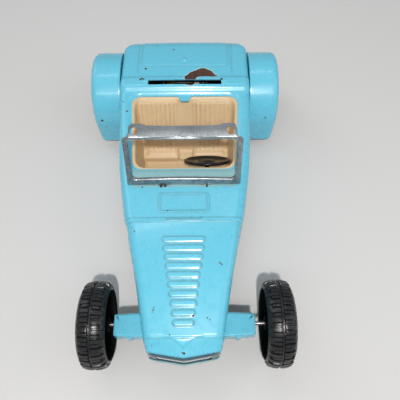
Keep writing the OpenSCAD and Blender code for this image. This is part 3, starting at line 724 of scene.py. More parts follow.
def window_frame():
    """Flat ring round the window whose inner edge is turned back."""
    outer = loop_outline([(-42, 0), (42, 0), (42.3, 41.2), (-42.3, 41.2)], [1.2, 1.2, 2.4, 2.4], 8, 40)
    inner = loop_outline([(-38.2, 5.0), (38.2, 5.0), (38.6, 39.6), (-38.6, 39.6)], [4, 4, 5.5, 5.5], 8, 40)
    arch = np.clip(1 - (inner[:, 0] / 36) ** 2, 0, 1)
    inner[:, 1] += np.where(inner[:, 1] < 20, 0.9, 1.0) * arch
    gap = inner - outer
    away = gap / np.linalg.norm(gap, axis=1, keepdims=True)
    fold = 1.3
    rows = [(outer + away * 0.25, 0.0), (inner - away * fold, 0.0)]
    for a in np.linspace(0, math.pi / 2, 6)[1:]:
        rows.append((inner - away * fold * (1 - math.sin(a)), fold * (1 - math.cos(a))))
    rows += [(inner, 2.1), (inner - away * 0.15, 2.3), (inner - away * 0.6, 2.3),
             (inner - away * 0.75, 2.1), (inner - away * 0.75, fold), (inner - away * fold, PANE_T),
             (outer + away * 0.25, PANE_T), (outer, PANE_T - 0.25), (outer, 0.25)]
    grid = np.array([np.column_stack([p[:, 0], np.full(len(p), d), p[:, 1]]) for p, d in rows])
    faces = grid_faces(*grid.shape[:2], wrap_rows=True, wrap_cols=True)
    return mesh_object("windshield", to_pane(grid.reshape(-1, 3)), faces, 50)


def flange_sheet():
    """Sheet that leaves the top rail, bends back and ends in two rounded ears."""
    fine = np.linspace(40.4, 35.4, 14, endpoint=False)
    columns = np.concatenate([-fine, np.linspace(-35.4, 35.4, 72), fine[::-1]])
    side = np.abs(columns)
    length = 8.1 + 1.2 * smooth(24, 28.5, side)
    past = np.clip(side - 34.0, 0, 3.7)
    length -= 3.7 - np.sqrt(np.clip(3.7 ** 2 - past ** 2, 0, None))
    length = np.where(side > 37.6, 0.35 + 1.9 * (1 - smooth(37.4, 39.4, side)), length)
    arch = 0.9 * (1 - (columns / 40.6) ** 2)
    start = 39.2 + arch
    fold_at = 40.55 - arch - 0.35 * np.clip(side - 37.5, 0, 4)
    radius = 2.0
    bend = math.radians(FOLD_ANGLE)
    rows = []
    for thick in (0.0, PANE_T):
        face = [(0 * columns, np.minimum(start, fold_at - 0.5)), (0 * columns, fold_at)]
        for a in np.linspace(0, bend, 7)[1:]:
            face.append((radius * (1 - math.cos(a)) + 0 * columns, fold_at + radius * math.sin(a)))
        base_y, base_z = face[-1]
        for t in np.linspace(0, 1, 10)[1:]:
            face.append((base_y + length * t * math.sin(bend), base_z + length * t * math.cos(bend)))
        face = np.array([np.column_stack([columns, y, z]) for y, z in face])
        tilt = np.concatenate([[0, 0], np.linspace(0, bend, 7)[1:], np.full(9, bend)])
        normal = np.column_stack([0 * tilt, np.cos(tilt), -np.sin(tilt)])
        rows.append(face + normal[:, None, :] * (thick + 0.01))
    outer, inner = [to_pane(g.reshape(-1, 3)).reshape(g.shape) for g in rows]
    return sheet_from_grid("flange", outer, inner, sharp=50)


def make_windshield():
    """Zinc-coated sheet frame with its folded flange, peg holes and tabs."""
    sheet = window_frame()
    join_by(sheet, flange_sheet(), "UNION", 50)
    for mount in frame["record"]["mounts"]:
        if mount["kind"] != "bore":
            continue
        hole = prism("hole", circle(mount["dims"]["r_mm"], 48), -4, 4, onto(mount))
        join_by(sheet, hole, "DIFFERENCE", 50)
    for x in (-15, 15):
        tab = rectangle(x - 4, -3.2, x + 4, 1, 0.5, 3)
        join_by(sheet, prism("tab", tab, 0.02, PANE_T - 0.02, lambda p: to_pane(face_on(p))), "UNION", 50)
    return sheet


# ---------------------------------------------------------------- wheels

LUG_PAIRS = 30
LUG_HEIGHT = 1.68
TREAD_DEPTH = 1.7
CROWN_DROP = [(0, 4.3), (0.3, 3.7), (1.3, 2.3), (3, 1.1), (5.4, 0.35), (8, 0), (20, 0)]


def lug_field(turn, across, width):
    """Share of the lug height at an angle and a place across the tyre, both as grids."""
    total = np.zeros(np.broadcast(turn, across).shape)
    for row, (start, end) in enumerate(((0.9, 9.2), (10.7, width - 1.5))):
        phase = (turn / (2 * math.pi) * LUG_PAIRS + 0.25 * row) % 1.0
        for centre, half, cut in ((0.235, 0.205, 0.0), (0.665, 0.165, 2.3)):
            off = np.abs(phase - centre)
            low = start + (cut if row == 0 else 0)
            high = end - (cut if row == 1 else 0)
            body = 1 - smooth(half - 0.012, half + 0.028, off)
            body = body * smooth(-0.2, 0.35, across - low) * smooth(-0.2, 0.35, high - across)
            total = np.maximum(total, body)
    return total


def wheel_profile(width, radius, hub_end, bore):
    """Closed wheel section of (radius, place across), and how many points are tread and hollow."""
    across = np.arange(0.3, width - 0.29, 0.38)
    tread = [(radius - TREAD_DEPTH - curve(CROWN_DROP, min(w, width - w)), w) for w in across]
    disc = [(25.2, 0.06), (24.8, 0), (24.4, 0), (24.0, 0.4), (23.6, 1.0), (23.2, 2.0), (21.5, 2.9), (17, 3.3),
            (12.6, 3.5), (12.0, 2.9), (11.2, 2.8), (10.6, 3.4), (8.4, 3.6), (6.4, 3.4), (5.7, 2.6)]
    ring = [(r, width - depth) for r, depth in disc] + [(5.3, hub_end), (bore, hub_end)]
    hollow = [(bore, 1.2), (4.6, 1.2), (5.0, 1.7), (5.4, width - 8.5), (6.6, width - 7.0),
              (21.0, width - 6.4), (22.8, width - 7.2), (23.8, width - 10), (24.2, 1.8), (24.4, 0.9),
              (24.8, 0.25), (25.2, 0.05)]
    return np.array(tread + ring + hollow), len(tread), len(hollow)


def make_wheel(node, turn_by):
    """Moulded wheel with two rows of long and short lugs and a hollow back."""
    low, high = box_mm(node)
    centre = (low + high) / 2
    side = 1 if centre[0] > 0 else -1
    width, radius = high[0] - low[0], (high[2] - low[2]) / 2
    front = node.startswith("front")
    profile, tread, hollow = wheel_profile(width, radius - 0.02, width - 2.4, 1.45 if front else 1.4)
    steps = 720
    turn = np.linspace(0, 2 * math.pi, steps, endpoint=False)[:, None]
    r = np.repeat(profile[None, :, 0], steps, 0)
    across = np.repeat(profile[None, :, 1], steps, 0)
    lug = lug_field(turn, across[:, :tread], width)
    r[:, :tread] += LUG_HEIGHT * lug
    a = turn + turn_by
    x = side * (across - width / 2) + centre[0]
    grid = np.stack([x, centre[1] + r * np.cos(a), centre[2] + r * np.sin(a)], axis=2)
    faces = grid_faces(steps, len(profile), wrap_rows=True, wrap_cols=True)
    obj = mesh_object(node.replace("wheel", "tyre"), grid.reshape(-1, 3), faces, 34)
    heights, on_tread, inside = np.zeros((3, steps, len(profile)))
    heights[:, :tread] = lug
    on_tread[:, :tread] = 1
    # Marks the hollow back, which the rubber paints near-black as painted shade.
    inside[:, -hollow:-1] = 1
    for name, values in (("lug", heights), ("tread", on_tread), ("hollow", inside)):
        add_field(obj, name, values)
    return obj


# ---------------------------------------------------------------- steering wheel, beam and grille


def make_steering_wheel():
    """Glossy dished disc with a rounded rim and a small hub."""
    joint = next(j for j in frame["joints"] if j["name"] == "steering_wheel_turn")
    rim = [(17.5 + 1.4 * math.cos(a), 0.85 + 1.3 * math.sin(a)) for a in np.linspace(-1.9, 2.3, 16)]
    profile = [(2.05, -3), (3.4, -3), (3.8, -2.7), (4.4, -1.1), (5.2, -0.85), (10, -0.85), (14, -0.55)]
    profile += rim
    profile += [(15.6, 1.3), (14.2, 0.75), (12, 0.35), (8, 0.2), (5.8, 0.3), (5.1, 0.75), (4.4, 1.25),
                (3.2, 1.6), (1.8, 1.75), (0.0, 1.8), (0.0, 0.5), (2.05, 0.5)]
    return lathe("steering_disc", profile, 96, onto(joint), 40)


def make_beam():
    """Pressed channel across the front, with rounded edges, two bosses and tabs."""
    high = box_mm("front_axle_beam")[1]
    axle = sum(box_mm("front_axle")) / 2
    base, top = 23.0, high[2]
    front, rear, swell, half = axle[1] - 8.6, axle[1] + 7.1, 1.1, high[0]
    corners = [(-half, front), (-26, front - swell), (26, front - swell), (half, front), (half, rear),
               (26, rear + swell), (-26, rear + swell), (-half, rear)]
    outline = loop_outline(corners, [1.2, 20, 20, 1.2, 1.2, 20, 20, 1.2], 5, 12)
    ahead = np.roll(outline, -1, 0) - np.roll(outline, 1, 0)
    outward = np.column_stack([ahead[:, 1], -ahead[:, 0]])
    outward /= np.linalg.norm(ahead, axis=1, keepdims=True)
    edge = (0.9 + 1.9 * np.clip(outward[:, 1], 0, 1))[:, None]
    rows = []
    for thick in (0.0, 1.2):
        face = [(outline - outward * thick, np.full(len(outline), z)) for z in (base, base + 3, base + 6)]
        for a in np.linspace(0, math.pi / 2, 8):
            reach = edge * (1 - math.cos(a)) + thick * math.cos(a)
            z = top - edge[:, 0] * (1 - math.sin(a)) - thick * math.sin(a)
            face.append((outline - outward * reach, z))
        spine = outline.copy()
        spine[:, 0] *= 0.9
        spine[:, 1] = axle[1]
        inner = outline - outward * edge
        for t in (0.25, 0.6, 0.9, 1):
            face.append((inner * (1 - t) + spine * t, np.full(len(outline), top - thick)))
        rows.append(np.array([np.column_stack([p, z]) for p, z in face]))
    outer, inner = rows
    n, cols = outer.shape[:2]
    faces = grid_faces(n, cols, 0, wrap_cols=True)
    faces += grid_faces(n, cols, n * cols, wrap_cols=True, flip=True)
    faces += [(k, (k + 1) % cols, n * cols + (k + 1) % cols, n * cols + k) for k in range(cols)]
    verts = np.concatenate([outer.reshape(-1, 3), inner.reshape(-1, 3)])
    beam = mesh_object("axle_beam", verts, faces, 50)
    for side in (-1, 1):
        boss = [(side * 39 + 2.1 * math.cos(a), front - 0.25 - 1.75 * math.sin(a))
                for a in np.linspace(0, math.pi, 13)]
        boss += [(side * 39 - 2.1, front + 0.6), (side * 39 + 2.1, front + 0.6)]
        join_by(beam, prism("boss", boss, base + 0.4, top - 1.4), "UNION", 50)
        hole = prism("hole", circle(1.42, 24, axle[1], axle[2]), side * 52, side * 46, side_on)
        join_by(beam, hole, "DIFFERENCE", 50)
        for y, back in ((front - 0.5, 1), (rear + 0.5, -1)):
            leg = rectangle(y - 0.6, 21.25, y + 0.6, 24, 0.3, 2)
            foot = rectangle(y - 0.6 * back, 21.2, y + 3.6 * back, 22, 0.3, 2)
            for shape in (leg, foot):
                tab = prism("tab", shape, side * 10 - 3, side * 10 + 3, side_on)
                join_by(beam, tab, "UNION", 50)
    return beam


def make_grille():
    """Dark insert with rounded upright bars behind the nose opening."""
    low, high = box_mm("grille")
    y = low[1]
    outline = rectangle(low[0], low[2], high[0], high[2], 1.5, 4)
    plate = prism("grille_insert", outline, y + 0.45, high[1], face_on)
    for k in range(-8, 9):
        bar = prism("bar", circle(0.62, 16, 2.2 * k, y + 0.62), low[2] + 2, high[2] - 1.6)
        join_by(plate, bar, "UNION")
    return plate


# ---------------------------------------------------------------- materials


class Paint:
    """A material under construction: each call adds a node and returns its output."""

    def __init__(self, name, **surface):
        self.mat = bpy.data.materials.new(name)
        self.mat.use_nodes = True
        self.tree = self.mat.node_tree
        self.bsdf = self.tree.nodes["Principled BSDF"]
        self.place = self.tree.nodes.new("ShaderNodeTexCoord").outputs["Object"]
        for socket, value in surface.items():
            self.bsdf.inputs[socket.replace("_", " ")].default_value = value

    def feed(self, socket, value):
        """Links an output to an input, or sets the input's own value."""
        if isinstance(value, bpy.types.NodeSocket):
            self.tree.links.new(value, socket)
        else:
            socket.default_value = value

    def surface(self, name, value):
        """Feeds one input of the surface shader."""
        self.feed(self.bsdf.inputs[name], value)

    def math(self, how, a, b=0.0, c=0.0):
        """One step of arithmetic on numbers."""
        node = self.tree.nodes.new("ShaderNodeMath")
        node.operation = how
        for socket, value in zip(node.inputs, (a, b, c)):
            self.feed(socket, value)
        return node.outputs[0]

    def vector(self, how, a, b, output="Vector"):
        """One step of arithmetic on vectors."""
        node = self.tree.nodes.new("ShaderNodeVectorMath")
        node.operation = how
        self.feed(node.inputs[0], a)
        self.feed(node.inputs[1], b)
        return node.outputs[output]

    def noise(self, size_mm, detail=3.0, rough=0.55, stretch=(1, 1, 1), seed=0.0):
        """Noise from 0 to 1 with blobs of about the given size."""
        node = self.tree.nodes.new("ShaderNodeTexNoise")
        moved = self.vector("MULTIPLY_ADD", self.place, stretch)
        moved.node.inputs[2].default_value = (seed, 0.37 * seed, -seed)
        self.feed(node.inputs["Vector"], moved)
        node.inputs["Scale"].default_value = 1000.0 / size_mm
        node.inputs["Detail"].default_value = detail
        node.inputs["Roughness"].default_value = rough
        return node.outputs["Fac"]

    def axis(self, name):
        """One coordinate of the surface in metres."""
        node = self.tree.nodes.new("ShaderNodeSeparateXYZ")
        self.feed(node.inputs["Vector"], self.place)
        return node.outputs[name]

    def cells(self, size_mm):
        """A random tone for each cell of about the given size."""
        node = self.tree.nodes.new("ShaderNodeTexVoronoi")
        self.feed(node.inputs["Vector"], self.place)
        node.inputs["Scale"].default_value = 1000.0 / size_mm
        return node.outputs["Color"]

    def ramp(self, value, *stops):
        """Maps a value through (position, colour) stops."""
        node = self.tree.nodes.new("ShaderNodeValToRGB")
        self.feed(node.inputs["Fac"], value)
        elements = node.color_ramp.elements
        while len(elements) < len(stops):
            elements.new(0.5)
        for element, (at, colour) in zip(elements, stops):
            element.position = at
            element.color = (*colour, 1)
        return node.outputs["Color"]

    def span(self, value, low, high, to_low=0.0, to_high=1.0):
        """Linear map of a value, held at its ends."""
        node = self.tree.nodes.new("ShaderNodeMapRange")
        for socket, number in zip(node.inputs, (value, low, high, to_low, to_high)):
            self.feed(socket, number)
        return node.outputs[0]

    def mix(self, share, a, b):
        """Mixes two colours by a share."""
        node = self.tree.nodes.new("ShaderNodeMix")
        node.data_type = "RGBA"
        self.feed(node.inputs["Factor"], share)
        for socket, colour in ((node.inputs[6], a), (node.inputs[7], b)):
            self.feed(socket, colour if isinstance(colour, bpy.types.NodeSocket) else (*colour, 1))
        return node.outputs[2]

    def attribute(self, name):
        """A number stored on the mesh by add_field."""
        node = self.tree.nodes.new("ShaderNodeAttribute")
        node.attribute_name = name
        return node.outputs["Fac"]

    def bump(self, height, depth_mm, strength=1.0):
        """Adds a bump on top of any earlier one."""
        node = self.tree.nodes.new("ShaderNodeBump")
        node.inputs["Strength"].default_value = strength
        node.inputs["Distance"].default_value = depth_mm * MM
        self.feed(node.inputs["Height"], height)
        normal = self.bsdf.inputs["Normal"]
        if normal.is_linked:
            self.tree.links.new(normal.links[0].from_socket, node.inputs["Normal"])
        self.tree.links.new(node.outputs["Normal"], normal)

    def nearest(self, places, ragged):
        """Distance to the nearest (x, y, z, radius) spot, as a share of its radius and ragged."""
        at = self.vector("MULTIPLY", self.place, (1000, 1000, 1000))
        best = None
        for x, y, z, radius in places:
            far = self.vector("DISTANCE", at, (x, y, z), "Value")
            share = self.math("MULTIPLY", far, 1 / radius)
            best = share if best is None else self.math("MINIMUM", best, share)
        return self.math("ADD", best, ragged)


def blue_enamel(name, chips, pressed=False):
    """Thick gloss enamel with soft orange peel and chips down to dark steel.

    On the pressed body it also reads the dirt and painted shade in the details, the painted shade on the nose
    face, the greyer strip with the painted lip highlight and the distance to the rusted patch.
    """
    p = Paint(name, Coat_Weight=0.3, Coat_Roughness=0.1)
    colour = p.mix(p.noise(38, 3), BLUE_DEEP, BLUE_PALE)
    stain = p.span(p.noise(9, 5, 0.62, seed=3.0), 0.60, 0.80, 0, 0.12)
    colour = p.mix(stain, colour, BLUE_GREY)
    rough = p.span(p.noise(6, 4, seed=1.0), 0.3, 0.7, 0.22, 0.36)
    p.bump(p.noise(1.6, 2, seed=5.0), 0.02, 0.5)
    ragged = p.math("MULTIPLY_ADD", p.noise(1.3, 5, 0.7, seed=2.0), 1.5, -0.75)
    here = p.nearest(chips, ragged)
    bare = p.math("MAXIMUM", p.span(here, 1.25, 1.1), p.span(p.noise(1.9, 2, 0.4, seed=9.0), 0.77, 0.80))
    rim = p.span(here, 1.6, 1.35, 0, 0.35)
    if pressed:
        # Dirt and painted shade in the creases, made patchy by the noise.
        caught = p.span(p.noise(3, 4, 0.6, seed=8.0), 0.3, 0.6, 0.35, 0.75)
        dirt_and_shade = p.math("MULTIPLY", p.attribute("dirt_and_shade"), caught)
        colour = p.mix(dirt_and_shade, colour, BLUE_DIRT_AND_SHADE)
        # Painted shade and dark reflection on the nose face.
        colour = p.mix(p.math("MULTIPLY", p.attribute("nose_face_shade"), 0.92), colour, NOSE_FACE_SHADE)
        # Greyer cowl strip under the windshield, and a painted highlight on the lip bar.
        colour = p.mix(p.attribute("strip_grey_lip_highlight"), colour, STRIP_GREY_LIP_HIGHLIGHT)
        edge = p.math("MULTIPLY_ADD", p.noise(4.5, 6, 0.62, seed=7.0), 4.0, -2.2)
        reach = p.math("ADD", p.attribute("rust"), edge)
        patch = p.span(reach, 0.15, -0.15)
        bare = p.math("MAXIMUM", bare, patch)
        rim = p.math("MAXIMUM", rim, p.span(reach, 0.9, 0.3, 0, 0.85))
    colour = p.mix(rim, colour, PRIMER)
    rusty = CHIP
    if pressed:
        grains = p.noise(2.2, 6, 0.7, seed=4.0)
        rusty = p.mix(patch, CHIP, p.ramp(grains, (0.30, RUST_DARK), (0.55, RUST), (0.72, RUST_PALE)))
    p.surface("Base Color", p.mix(bare, colour, rusty))
    p.surface("Roughness", p.math("MULTIPLY_ADD", bare, 0.4, rough))
    p.surface("Coat Weight", p.span(bare, 0, 1, 0.3, 0.0))
    p.bump(p.math("MULTIPLY", bare, p.noise(0.9, 4, 0.7, seed=6.0)), 0.12, 0.6)
    p.bump(p.math("SUBTRACT", 1.0, bare), 0.1, 0.8)
    return p.mat


def zinc(name):
    """Zinc-coated sheet: cool grey, mottled and dulled, darker on the flange as a painted dark reflection."""
    p = Paint(name, Metallic=1.0, Roughness=0.4)
    mottle = p.noise(2.4, 6, 0.72)
    broad = p.noise(16, 3, seed=2.0)
    spangle = p.cells(1.7)
    tone = p.math("MULTIPLY_ADD", broad, 0.8, p.math("MULTIPLY_ADD", mottle, 0.75, -0.28))
    tone = p.math("MULTIPLY_ADD", spangle, 0.14, tone)
    colour = p.ramp(tone, (0.22, (0.17, 0.195, 0.215)), (0.48, (0.36, 0.39, 0.41)),
                    (0.75, (0.60, 0.62, 0.63)), (0.98, (0.80, 0.80, 0.79)))
    specks = p.span(p.noise(0.55, 3, 0.5, seed=8.0), 0.50, 0.60, 0, 0.5)
    colour = p.mix(specks, colour, (0.075, 0.09, 0.10))
    # Painted dark reflection: the flange, high up, is darkened by height.
    flange = p.span(p.axis("Z"), 0.1045, 0.1065, 0, 0.72)
    colour = p.mix(flange, colour, (0.10, 0.12, 0.135))
    p.surface("Base Color", colour)
    p.surface("Roughness", p.span(mottle, 0.25, 0.75, 0.52, 0.26))
    p.bump(mottle, 0.05, 0.5)
    p.bump(p.noise(0.5, 3, 0.6, (1, 6, 6), seed=5.0), 0.012, 0.5)
    return p.mat


def cream_plastic(name):
    """Satin moulded plastic, a little yellowed and grubby."""
    p = Paint(name, Roughness=0.42, Subsurface_Weight=0.05, Subsurface_Scale=0.002)
    p.bsdf.inputs["Subsurface Radius"].default_value = (1.0, 0.6, 0.3)
    colour = p.mix(p.noise(22, 3), CREAM_DEEP, CREAM_PALE)
    grime = p.span(p.noise(5, 6, 0.65, seed=3.0), 0.55, 0.8, 0, 0.35)
    p.surface("Base Color", p.mix(grime, colour, CREAM_GRIME))
    p.surface("Roughness", p.span(p.noise(4, 4, seed=1.0), 0.3, 0.7, 0.36, 0.52))
    p.bump(p.noise(0.45, 2, seed=2.0), 0.015, 0.5)
    return p.mat


def black_plastic(name):
    """Glossy black moulding with fine scuffs."""
    p = Paint(name, Roughness=0.2, Specular_IOR_Level=0.3)
    p.surface("Base Color", p.mix(p.noise(12, 4), (0.003, 0.003, 0.004), (0.009, 0.009, 0.011)))
    scuff = p.noise(0.8, 5, 0.7, (1, 5, 1), seed=2.0)
    p.surface("Roughness", p.span(scuff, 0.4, 0.8, 0.13, 0.38))
    p.bump(scuff, 0.01, 0.4)
    return p.mat


def tyre_rubber(name):
    """Hard black moulded rubber: greyer lug tops, part wear and part painted sheen, dusty between them, with
    painted shade in the hollow back.
    """
    p = Paint(name, Roughness=0.4)
    # Lug tops greyer and a little bluer: partly wear, partly a painted sheen.
    worn_and_sheen = p.span(p.attribute("lug"), 0.75, 1.0)
    dusty = p.noise(7, 5, 0.6)
    colour = p.mix(dusty, (0.006, 0.006, 0.006), (0.015, 0.015, 0.016))
    dust = p.math("MULTIPLY", p.span(p.attribute("lug"), 0.5, 0.0), p.span(dusty, 0.35, 0.7, 0.0, 0.35))
    colour = p.mix(p.math("MULTIPLY", dust, p.attribute("tread")), colour, (0.05, 0.05, 0.047))
    colour = p.mix(p.math("MULTIPLY", worn_and_sheen, 0.25), colour, (0.035, 0.037, 0.042))
    # The hollow back is painted near-black, a painted shade.
    p.surface("Base Color", p.mix(p.attribute("hollow"), colour, (0.004, 0.004, 0.004)))
    rough = p.span(p.noise(3, 5, 0.65, seed=3.0), 0.3, 0.7, 0.2, 0.38)
    p.surface("Roughness", p.math("MULTIPLY_ADD", p.attribute("hollow"), 0.4, rough))
    p.surface("Specular IOR Level", p.span(p.attribute("hollow"), 0, 1, 0.4, 0.1))
    p.bump(p.noise(0.5, 4, 0.65, seed=4.0), 0.03, 0.5)
    return p.mat


def metal(name, dark, light, rough, grain=(1, 1, 1), fine=0.7, depth=0.01):
    """Bare or plated metal with fine drawn, turned or cast grain and dull patches."""
    p = Paint(name, Metallic=1.0, Roughness=rough)
    patches = p.noise(5, 5, 0.6)
    p.surface("Base Color", p.mix(patches, dark, light))
    lines = p.noise(fine, 4, 0.65, grain, seed=2.0)
    p.surface("Roughness", p.span(lines, 0.25, 0.75, rough - 0.08, rough + 0.12))
    p.bump(lines, depth, 0.5)
    return p.mat


def dark_paint(name):
    """Thin dark paint on steel, dusty and rubbed."""
    p = Paint(name, Roughness=0.5)
    colour = p.mix(p.noise(14, 5, 0.6), (0.022, 0.025, 0.027), (0.05, 0.052, 0.052))
    rubbed = p.span(p.noise(3, 6, 0.7, seed=3.0), 0.66, 0.74)
    p.surface("Base Color", p.mix(rubbed, colour, (0.16, 0.155, 0.15)))
    p.surface("Roughness", p.span(p.noise(5, 4, seed=1.0), 0.3, 0.7, 0.42, 0.62))
    p.bump(p.noise(0.7, 4, 0.6, seed=2.0), 0.03, 0.5)
    return p.mat


BLUE_DEEP, BLUE_PALE, BLUE_GREY = (0.11, 0.49, 0.645), (0.135, 0.535, 0.70), (0.17, 0.43, 0.50)
# Colours of the crease dirt and painted shade, the painted nose shade, and the greyer strip with the painted lip
# highlight.
BLUE_DIRT_AND_SHADE, NOSE_FACE_SHADE, STRIP_GREY_LIP_HIGHLIGHT = (0.10, 0.20, 0.22), (0.028, 0.05, 0.066), (0.27, 0.43, 0.42)
CHIP, PRIMER = (0.022, 0.020, 0.020), (0.50, 0.66, 0.66)
RUST_DARK, RUST, RUST_PALE = (0.022, 0.012, 0.008), (0.075, 0.030, 0.015), (0.17, 0.075, 0.035)
CREAM_DEEP, CREAM_PALE, CREAM_GRIME = (0.60, 0.43, 0.245), (0.66, 0.49, 0.295), (0.40, 0.25, 0.11)
TOP_CHIPS = [  # x, y and radius of each chip
    (-42, -38, 0.8), (-36.5, -49, 0.6), (-35, -51.5, 0.6), (-37, -55.5, 0.7), (-36, -57.5, 0.5),
    (-34.5, -73, 0.7), (25, -75, 0.55), (26.3, -76, 0.55), (-19.7, -104.5, 0.45), (-20.2, -106, 0.5),
    (-20.8, -107.5, 0.4), (27, -114, 0.9), (26.4, -115.6, 0.6), (16, -111.5, 0.4), (17.5, -112.7, 0.4),
    (6.5, -110, 0.7), (-9, -122, 0.5), (-11.8, -35.5, 0.6), (-31, -15.5, 0.6), (-17, -15, 1.0),
    (-14, -14.8, 1.0), (17, -15, 0.8), (-33.5, 100, 0.9), (-36, 87, 0.8), (-37.5, 86.2, 0.8),
    (-34.6, 86.4, 0.7), (31, 86, 0.9), (-10, 124, 0.8), (-47, 56, 0.7), (36, 70, 0.5), (2, -84, 0.5),
    (9, -66, 0.4), (-43, -22, 0.5), (-51, 66, 0.6), (12, 113, 0.5), (-25, 131, 0.5),
]
FRONT_CHIPS = [  # x, y, z and radius
    (0.4, -133, 52.4, 0.7), (-0.6, -132.6, 52.7, 0.5), (20, -133, 50.3, 0.6), (22, -131.5, 49.6, 0.7),
    (17.5, -134, 50.8, 0.5), (-16, -133.6, 50.6, 0.4), (9, -135, 50.6, 0.4), (-5.5, -135.4, 50.4, 0.35),
    (-21, -128, 53, 0.35), (-16, -126.4, 54.6, 0.35), (23, -124, 54, 0.4),
]
FENDER_CHIPS = [
    (-73.5, 67, 38, 1.1), (-71, 66.9, 30, 0.6), (70, 68, 40, 0.6), (77, 80, 58, 0.6),
    (66, 120, 62, 0.6), (-52, 113, 65, 0.5), (60, 134, 49, 0.7),
]


def on_top(x, y, radius):
    """A spot on the upper face of the body, at the height of the plain surface."""
    return x, y, curve(TOP, y) - CROWN * (x / curve(WIDTH, y)) ** 2, radius


FINISHES = {
    # The motor frames and gears are given dark finishes partly as painted shade, so the view into the deck slot
    # reads black.
    "dark_steel": ["grille", "base_plate", "motor_frame_left", "motor_frame_right"],
    "black_plastic": ["steering_column"],
    "plated_steel": ["fender_rivets", "tub_screws", "front_axle_caps", "rear_axle_caps", "motor_rivets"],
    "bare_steel": ["front_axle", "rear_axle", "motor_spacers", "middle_shaft", "flywheel_shaft"],
    "gear_steel": ["axle_gear", "middle_gear"],
    "pinion_brass": ["middle_pinion", "flywheel_pinion"],
    "cast_metal": ["flywheel"],
}
DRAWN, TURNED = (1, 8, 8), (6, 1, 1)  # stretch of the grain


def make_materials():
    """Every finish by its name in the record, and the fenders' own look of the blue paint."""
    body_chips = [on_top(*spot) for spot in TOP_CHIPS] + FRONT_CHIPS
    return {
        "blue_paint": blue_enamel("blue_paint", body_chips, pressed=True),
        "fender_paint": blue_enamel("fender_paint", FENDER_CHIPS),
        "dark_steel": dark_paint("dark_steel"),
        "zinc_sheet": zinc("zinc_sheet"),
        "cream_plastic": cream_plastic("cream_plastic"),
        "black_plastic": black_plastic("black_plastic"),
        "wheel_rubber": tyre_rubber("wheel_rubber"),
        "plated_steel": metal("plated_steel", (0.50, 0.50, 0.50), (0.68, 0.68, 0.67), 0.24, fine=0.4),
        "bare_steel": metal("bare_steel", (0.24, 0.235, 0.23), (0.42, 0.41, 0.40), 0.36, DRAWN, depth=0.02),
        "gear_steel": metal("gear_steel", (0.10, 0.097, 0.09), (0.19, 0.185, 0.17), 0.45, TURNED),
        "pinion_brass": metal("pinion_brass", (0.22, 0.14, 0.05), (0.32, 0.21, 0.08), 0.42, TURNED),
        "cast_metal": metal(
            "cast_metal", (0.17, 0.17, 0.175), (0.28, 0.28, 0.28), 0.48, fine=1.2, depth=0.05),
    }


# ---------------------------------------------------------------- stage, camera and light


def make_stage():
    """Plain pale floor."""
    bm = bmesh.new()
    bmesh.ops.create_grid(bm, x_segments=8, y_segments=8, size=1.6)
    mesh = bpy.data.meshes.new("floor")
    bm.to_mesh(mesh)
    bm.free()
    floor = bpy.data.objects.new("floor", mesh)
    bpy.context.scene.collection.objects.link(floor)
    mat = bpy.data.materials.new("floor_paper")
    mat.use_nodes = True
    bsdf = mat.node_tree.nodes["Principled BSDF"]
    bsdf.inputs["Base Color"].default_value = (0.62, 0.61, 0.60, 1)
    bsdf.inputs["Roughness"].default_value = 0.85
    mesh.materials.append(mat)


def area_light(name, place, target, size, power, colour, depth=None):
    """A disk, or with a depth a strip, whose length lies along X."""
    data = bpy.data.lights.new(name, "AREA")
    data.shape = "RECTANGLE" if depth else "DISK"
    data.size = size
    if depth:
        data.size_y = depth
    data.energy = power
    data.color = colour
    obj = bpy.data.objects.new(name, data)
    bpy.context.scene.collection.objects.link(obj)
    obj.location = place
    obj.rotation_euler = (Vector(target) - Vector(place)).to_track_quat("-Z", "Y").to_euler()


def make_light():
    """A small key light, two long strips for the highlights, and soft fill."""
    area_light("key", (0.03, -0.50, 0.95), (0, 0, 0.05), 0.05, 7.0, (1.0, 0.98, 0.95))
    area_light("front_strip", (-0.05, -0.55, 0.83), (0, 0.08, 0.06), 0.65, 1.1, (1, 1, 1), 0.05)
    area_light("rear_strip", (-0.10, 0.36, 1.0), (0, 0.09, 0.06), 0.75, 0.9, (1, 1, 1), 0.06)
    area_light("window", (-1.1, 0.9, 1.1), (0, 0, 0.03), 1.0, 4, (0.93, 0.97, 1.0))
    area_light("fill", (1.2, -0.2, 1.0), (0, 0, 0.03), 1.2, 3, (1, 1, 1))
    world = bpy.data.worlds.new("studio")
    bpy.context.scene.world = world
    world.use_nodes = True
    background = world.node_tree.nodes["Background"]
    background.inputs["Color"].default_value = (0.9, 0.95, 1.0, 1)
    background.inputs["Strength"].default_value = 0.33
    bpy.context.scene.view_settings.view_transform = "Standard"


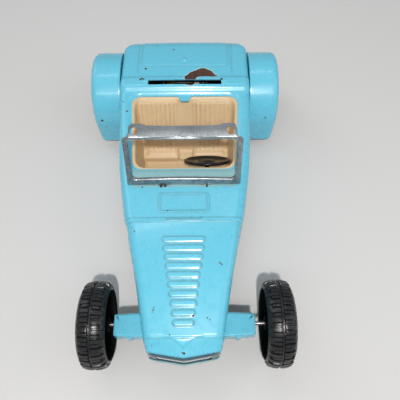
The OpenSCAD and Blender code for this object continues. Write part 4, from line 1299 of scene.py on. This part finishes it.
def make_camera():
    """Camera in front of the car and above it, looking steeply down."""
    cam = bpy.data.cameras.new("camera")
    cam.sensor_width = 36
    cam.lens = 41.8
    obj = bpy.data.objects.new("camera", cam)
    bpy.context.scene.collection.objects.link(obj)
    tilt, yaw = math.radians(62.66), math.radians(-0.52)
    look = Vector((-math.sin(yaw) * math.cos(tilt), math.cos(yaw) * math.cos(tilt), -math.sin(tilt)))
    obj.location = (0.0104, -0.1836, 0.3695)
    obj.rotation_euler = look.to_track_quat("-Z", "Y").to_euler()
    bpy.context.scene.camera = obj


# ---------------------------------------------------------------- assembly


def finish_piece(obj, body, slot, material, *nodes):
    """Makes a piece ride on its body, gives it its material and lets it stand in for CAD nodes."""
    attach(obj, body)
    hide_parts(*nodes)
    obj.data.materials.clear()
    obj.data.materials.append(material)


def dress_nodes(looks):
    """Gives each CAD node that stays visible its material, on its object's slots."""
    for finish, nodes in FINISHES.items():
        for obj in (frame["nodes"][node] for node in nodes):
            if not obj.material_slots:
                obj.data.materials.append(looks[finish])
            for place in obj.material_slots:
                place.link = "OBJECT"
                place.material = looks[finish]


def build():
    """Makes every visual piece and dresses the CAD nodes that stay."""
    looks = make_materials()
    dress_nodes(looks)
    finish_piece(make_body(), "car", "blue_paint", looks["blue_paint"], "body_shell")
    finish_piece(make_tub(), "car", "cream_plastic", looks["cream_plastic"], "interior_tub")
    finish_piece(make_windshield(), "car", "zinc_sheet", looks["zinc_sheet"], "windshield_frame")
    for side, name in ((1, "left"), (-1, "right")):
        finish_piece(make_fender(side), "car", "blue_paint", looks["fender_paint"], "rear_fender_" + name)
        for k, (end, body) in enumerate((("front", "front_" + name), ("rear", "rear_drive"))):
            node = f"{end}_wheel_{name}"
            wheel = make_wheel(node, 0.013 + 0.4 * k + 0.2 * side)
            finish_piece(wheel, body, "wheel_rubber", looks["wheel_rubber"], node)
    finish_piece(make_beam(), "car", "blue_paint", looks["fender_paint"], "front_axle_beam")
    finish_piece(make_grille(), "car", "dark_steel", looks["dark_steel"], "grille")
    disc = make_steering_wheel()
    finish_piece(disc, "steering", "black_plastic", looks["black_plastic"], "steering_wheel")


make_camera()
make_stage()
make_light()
build()
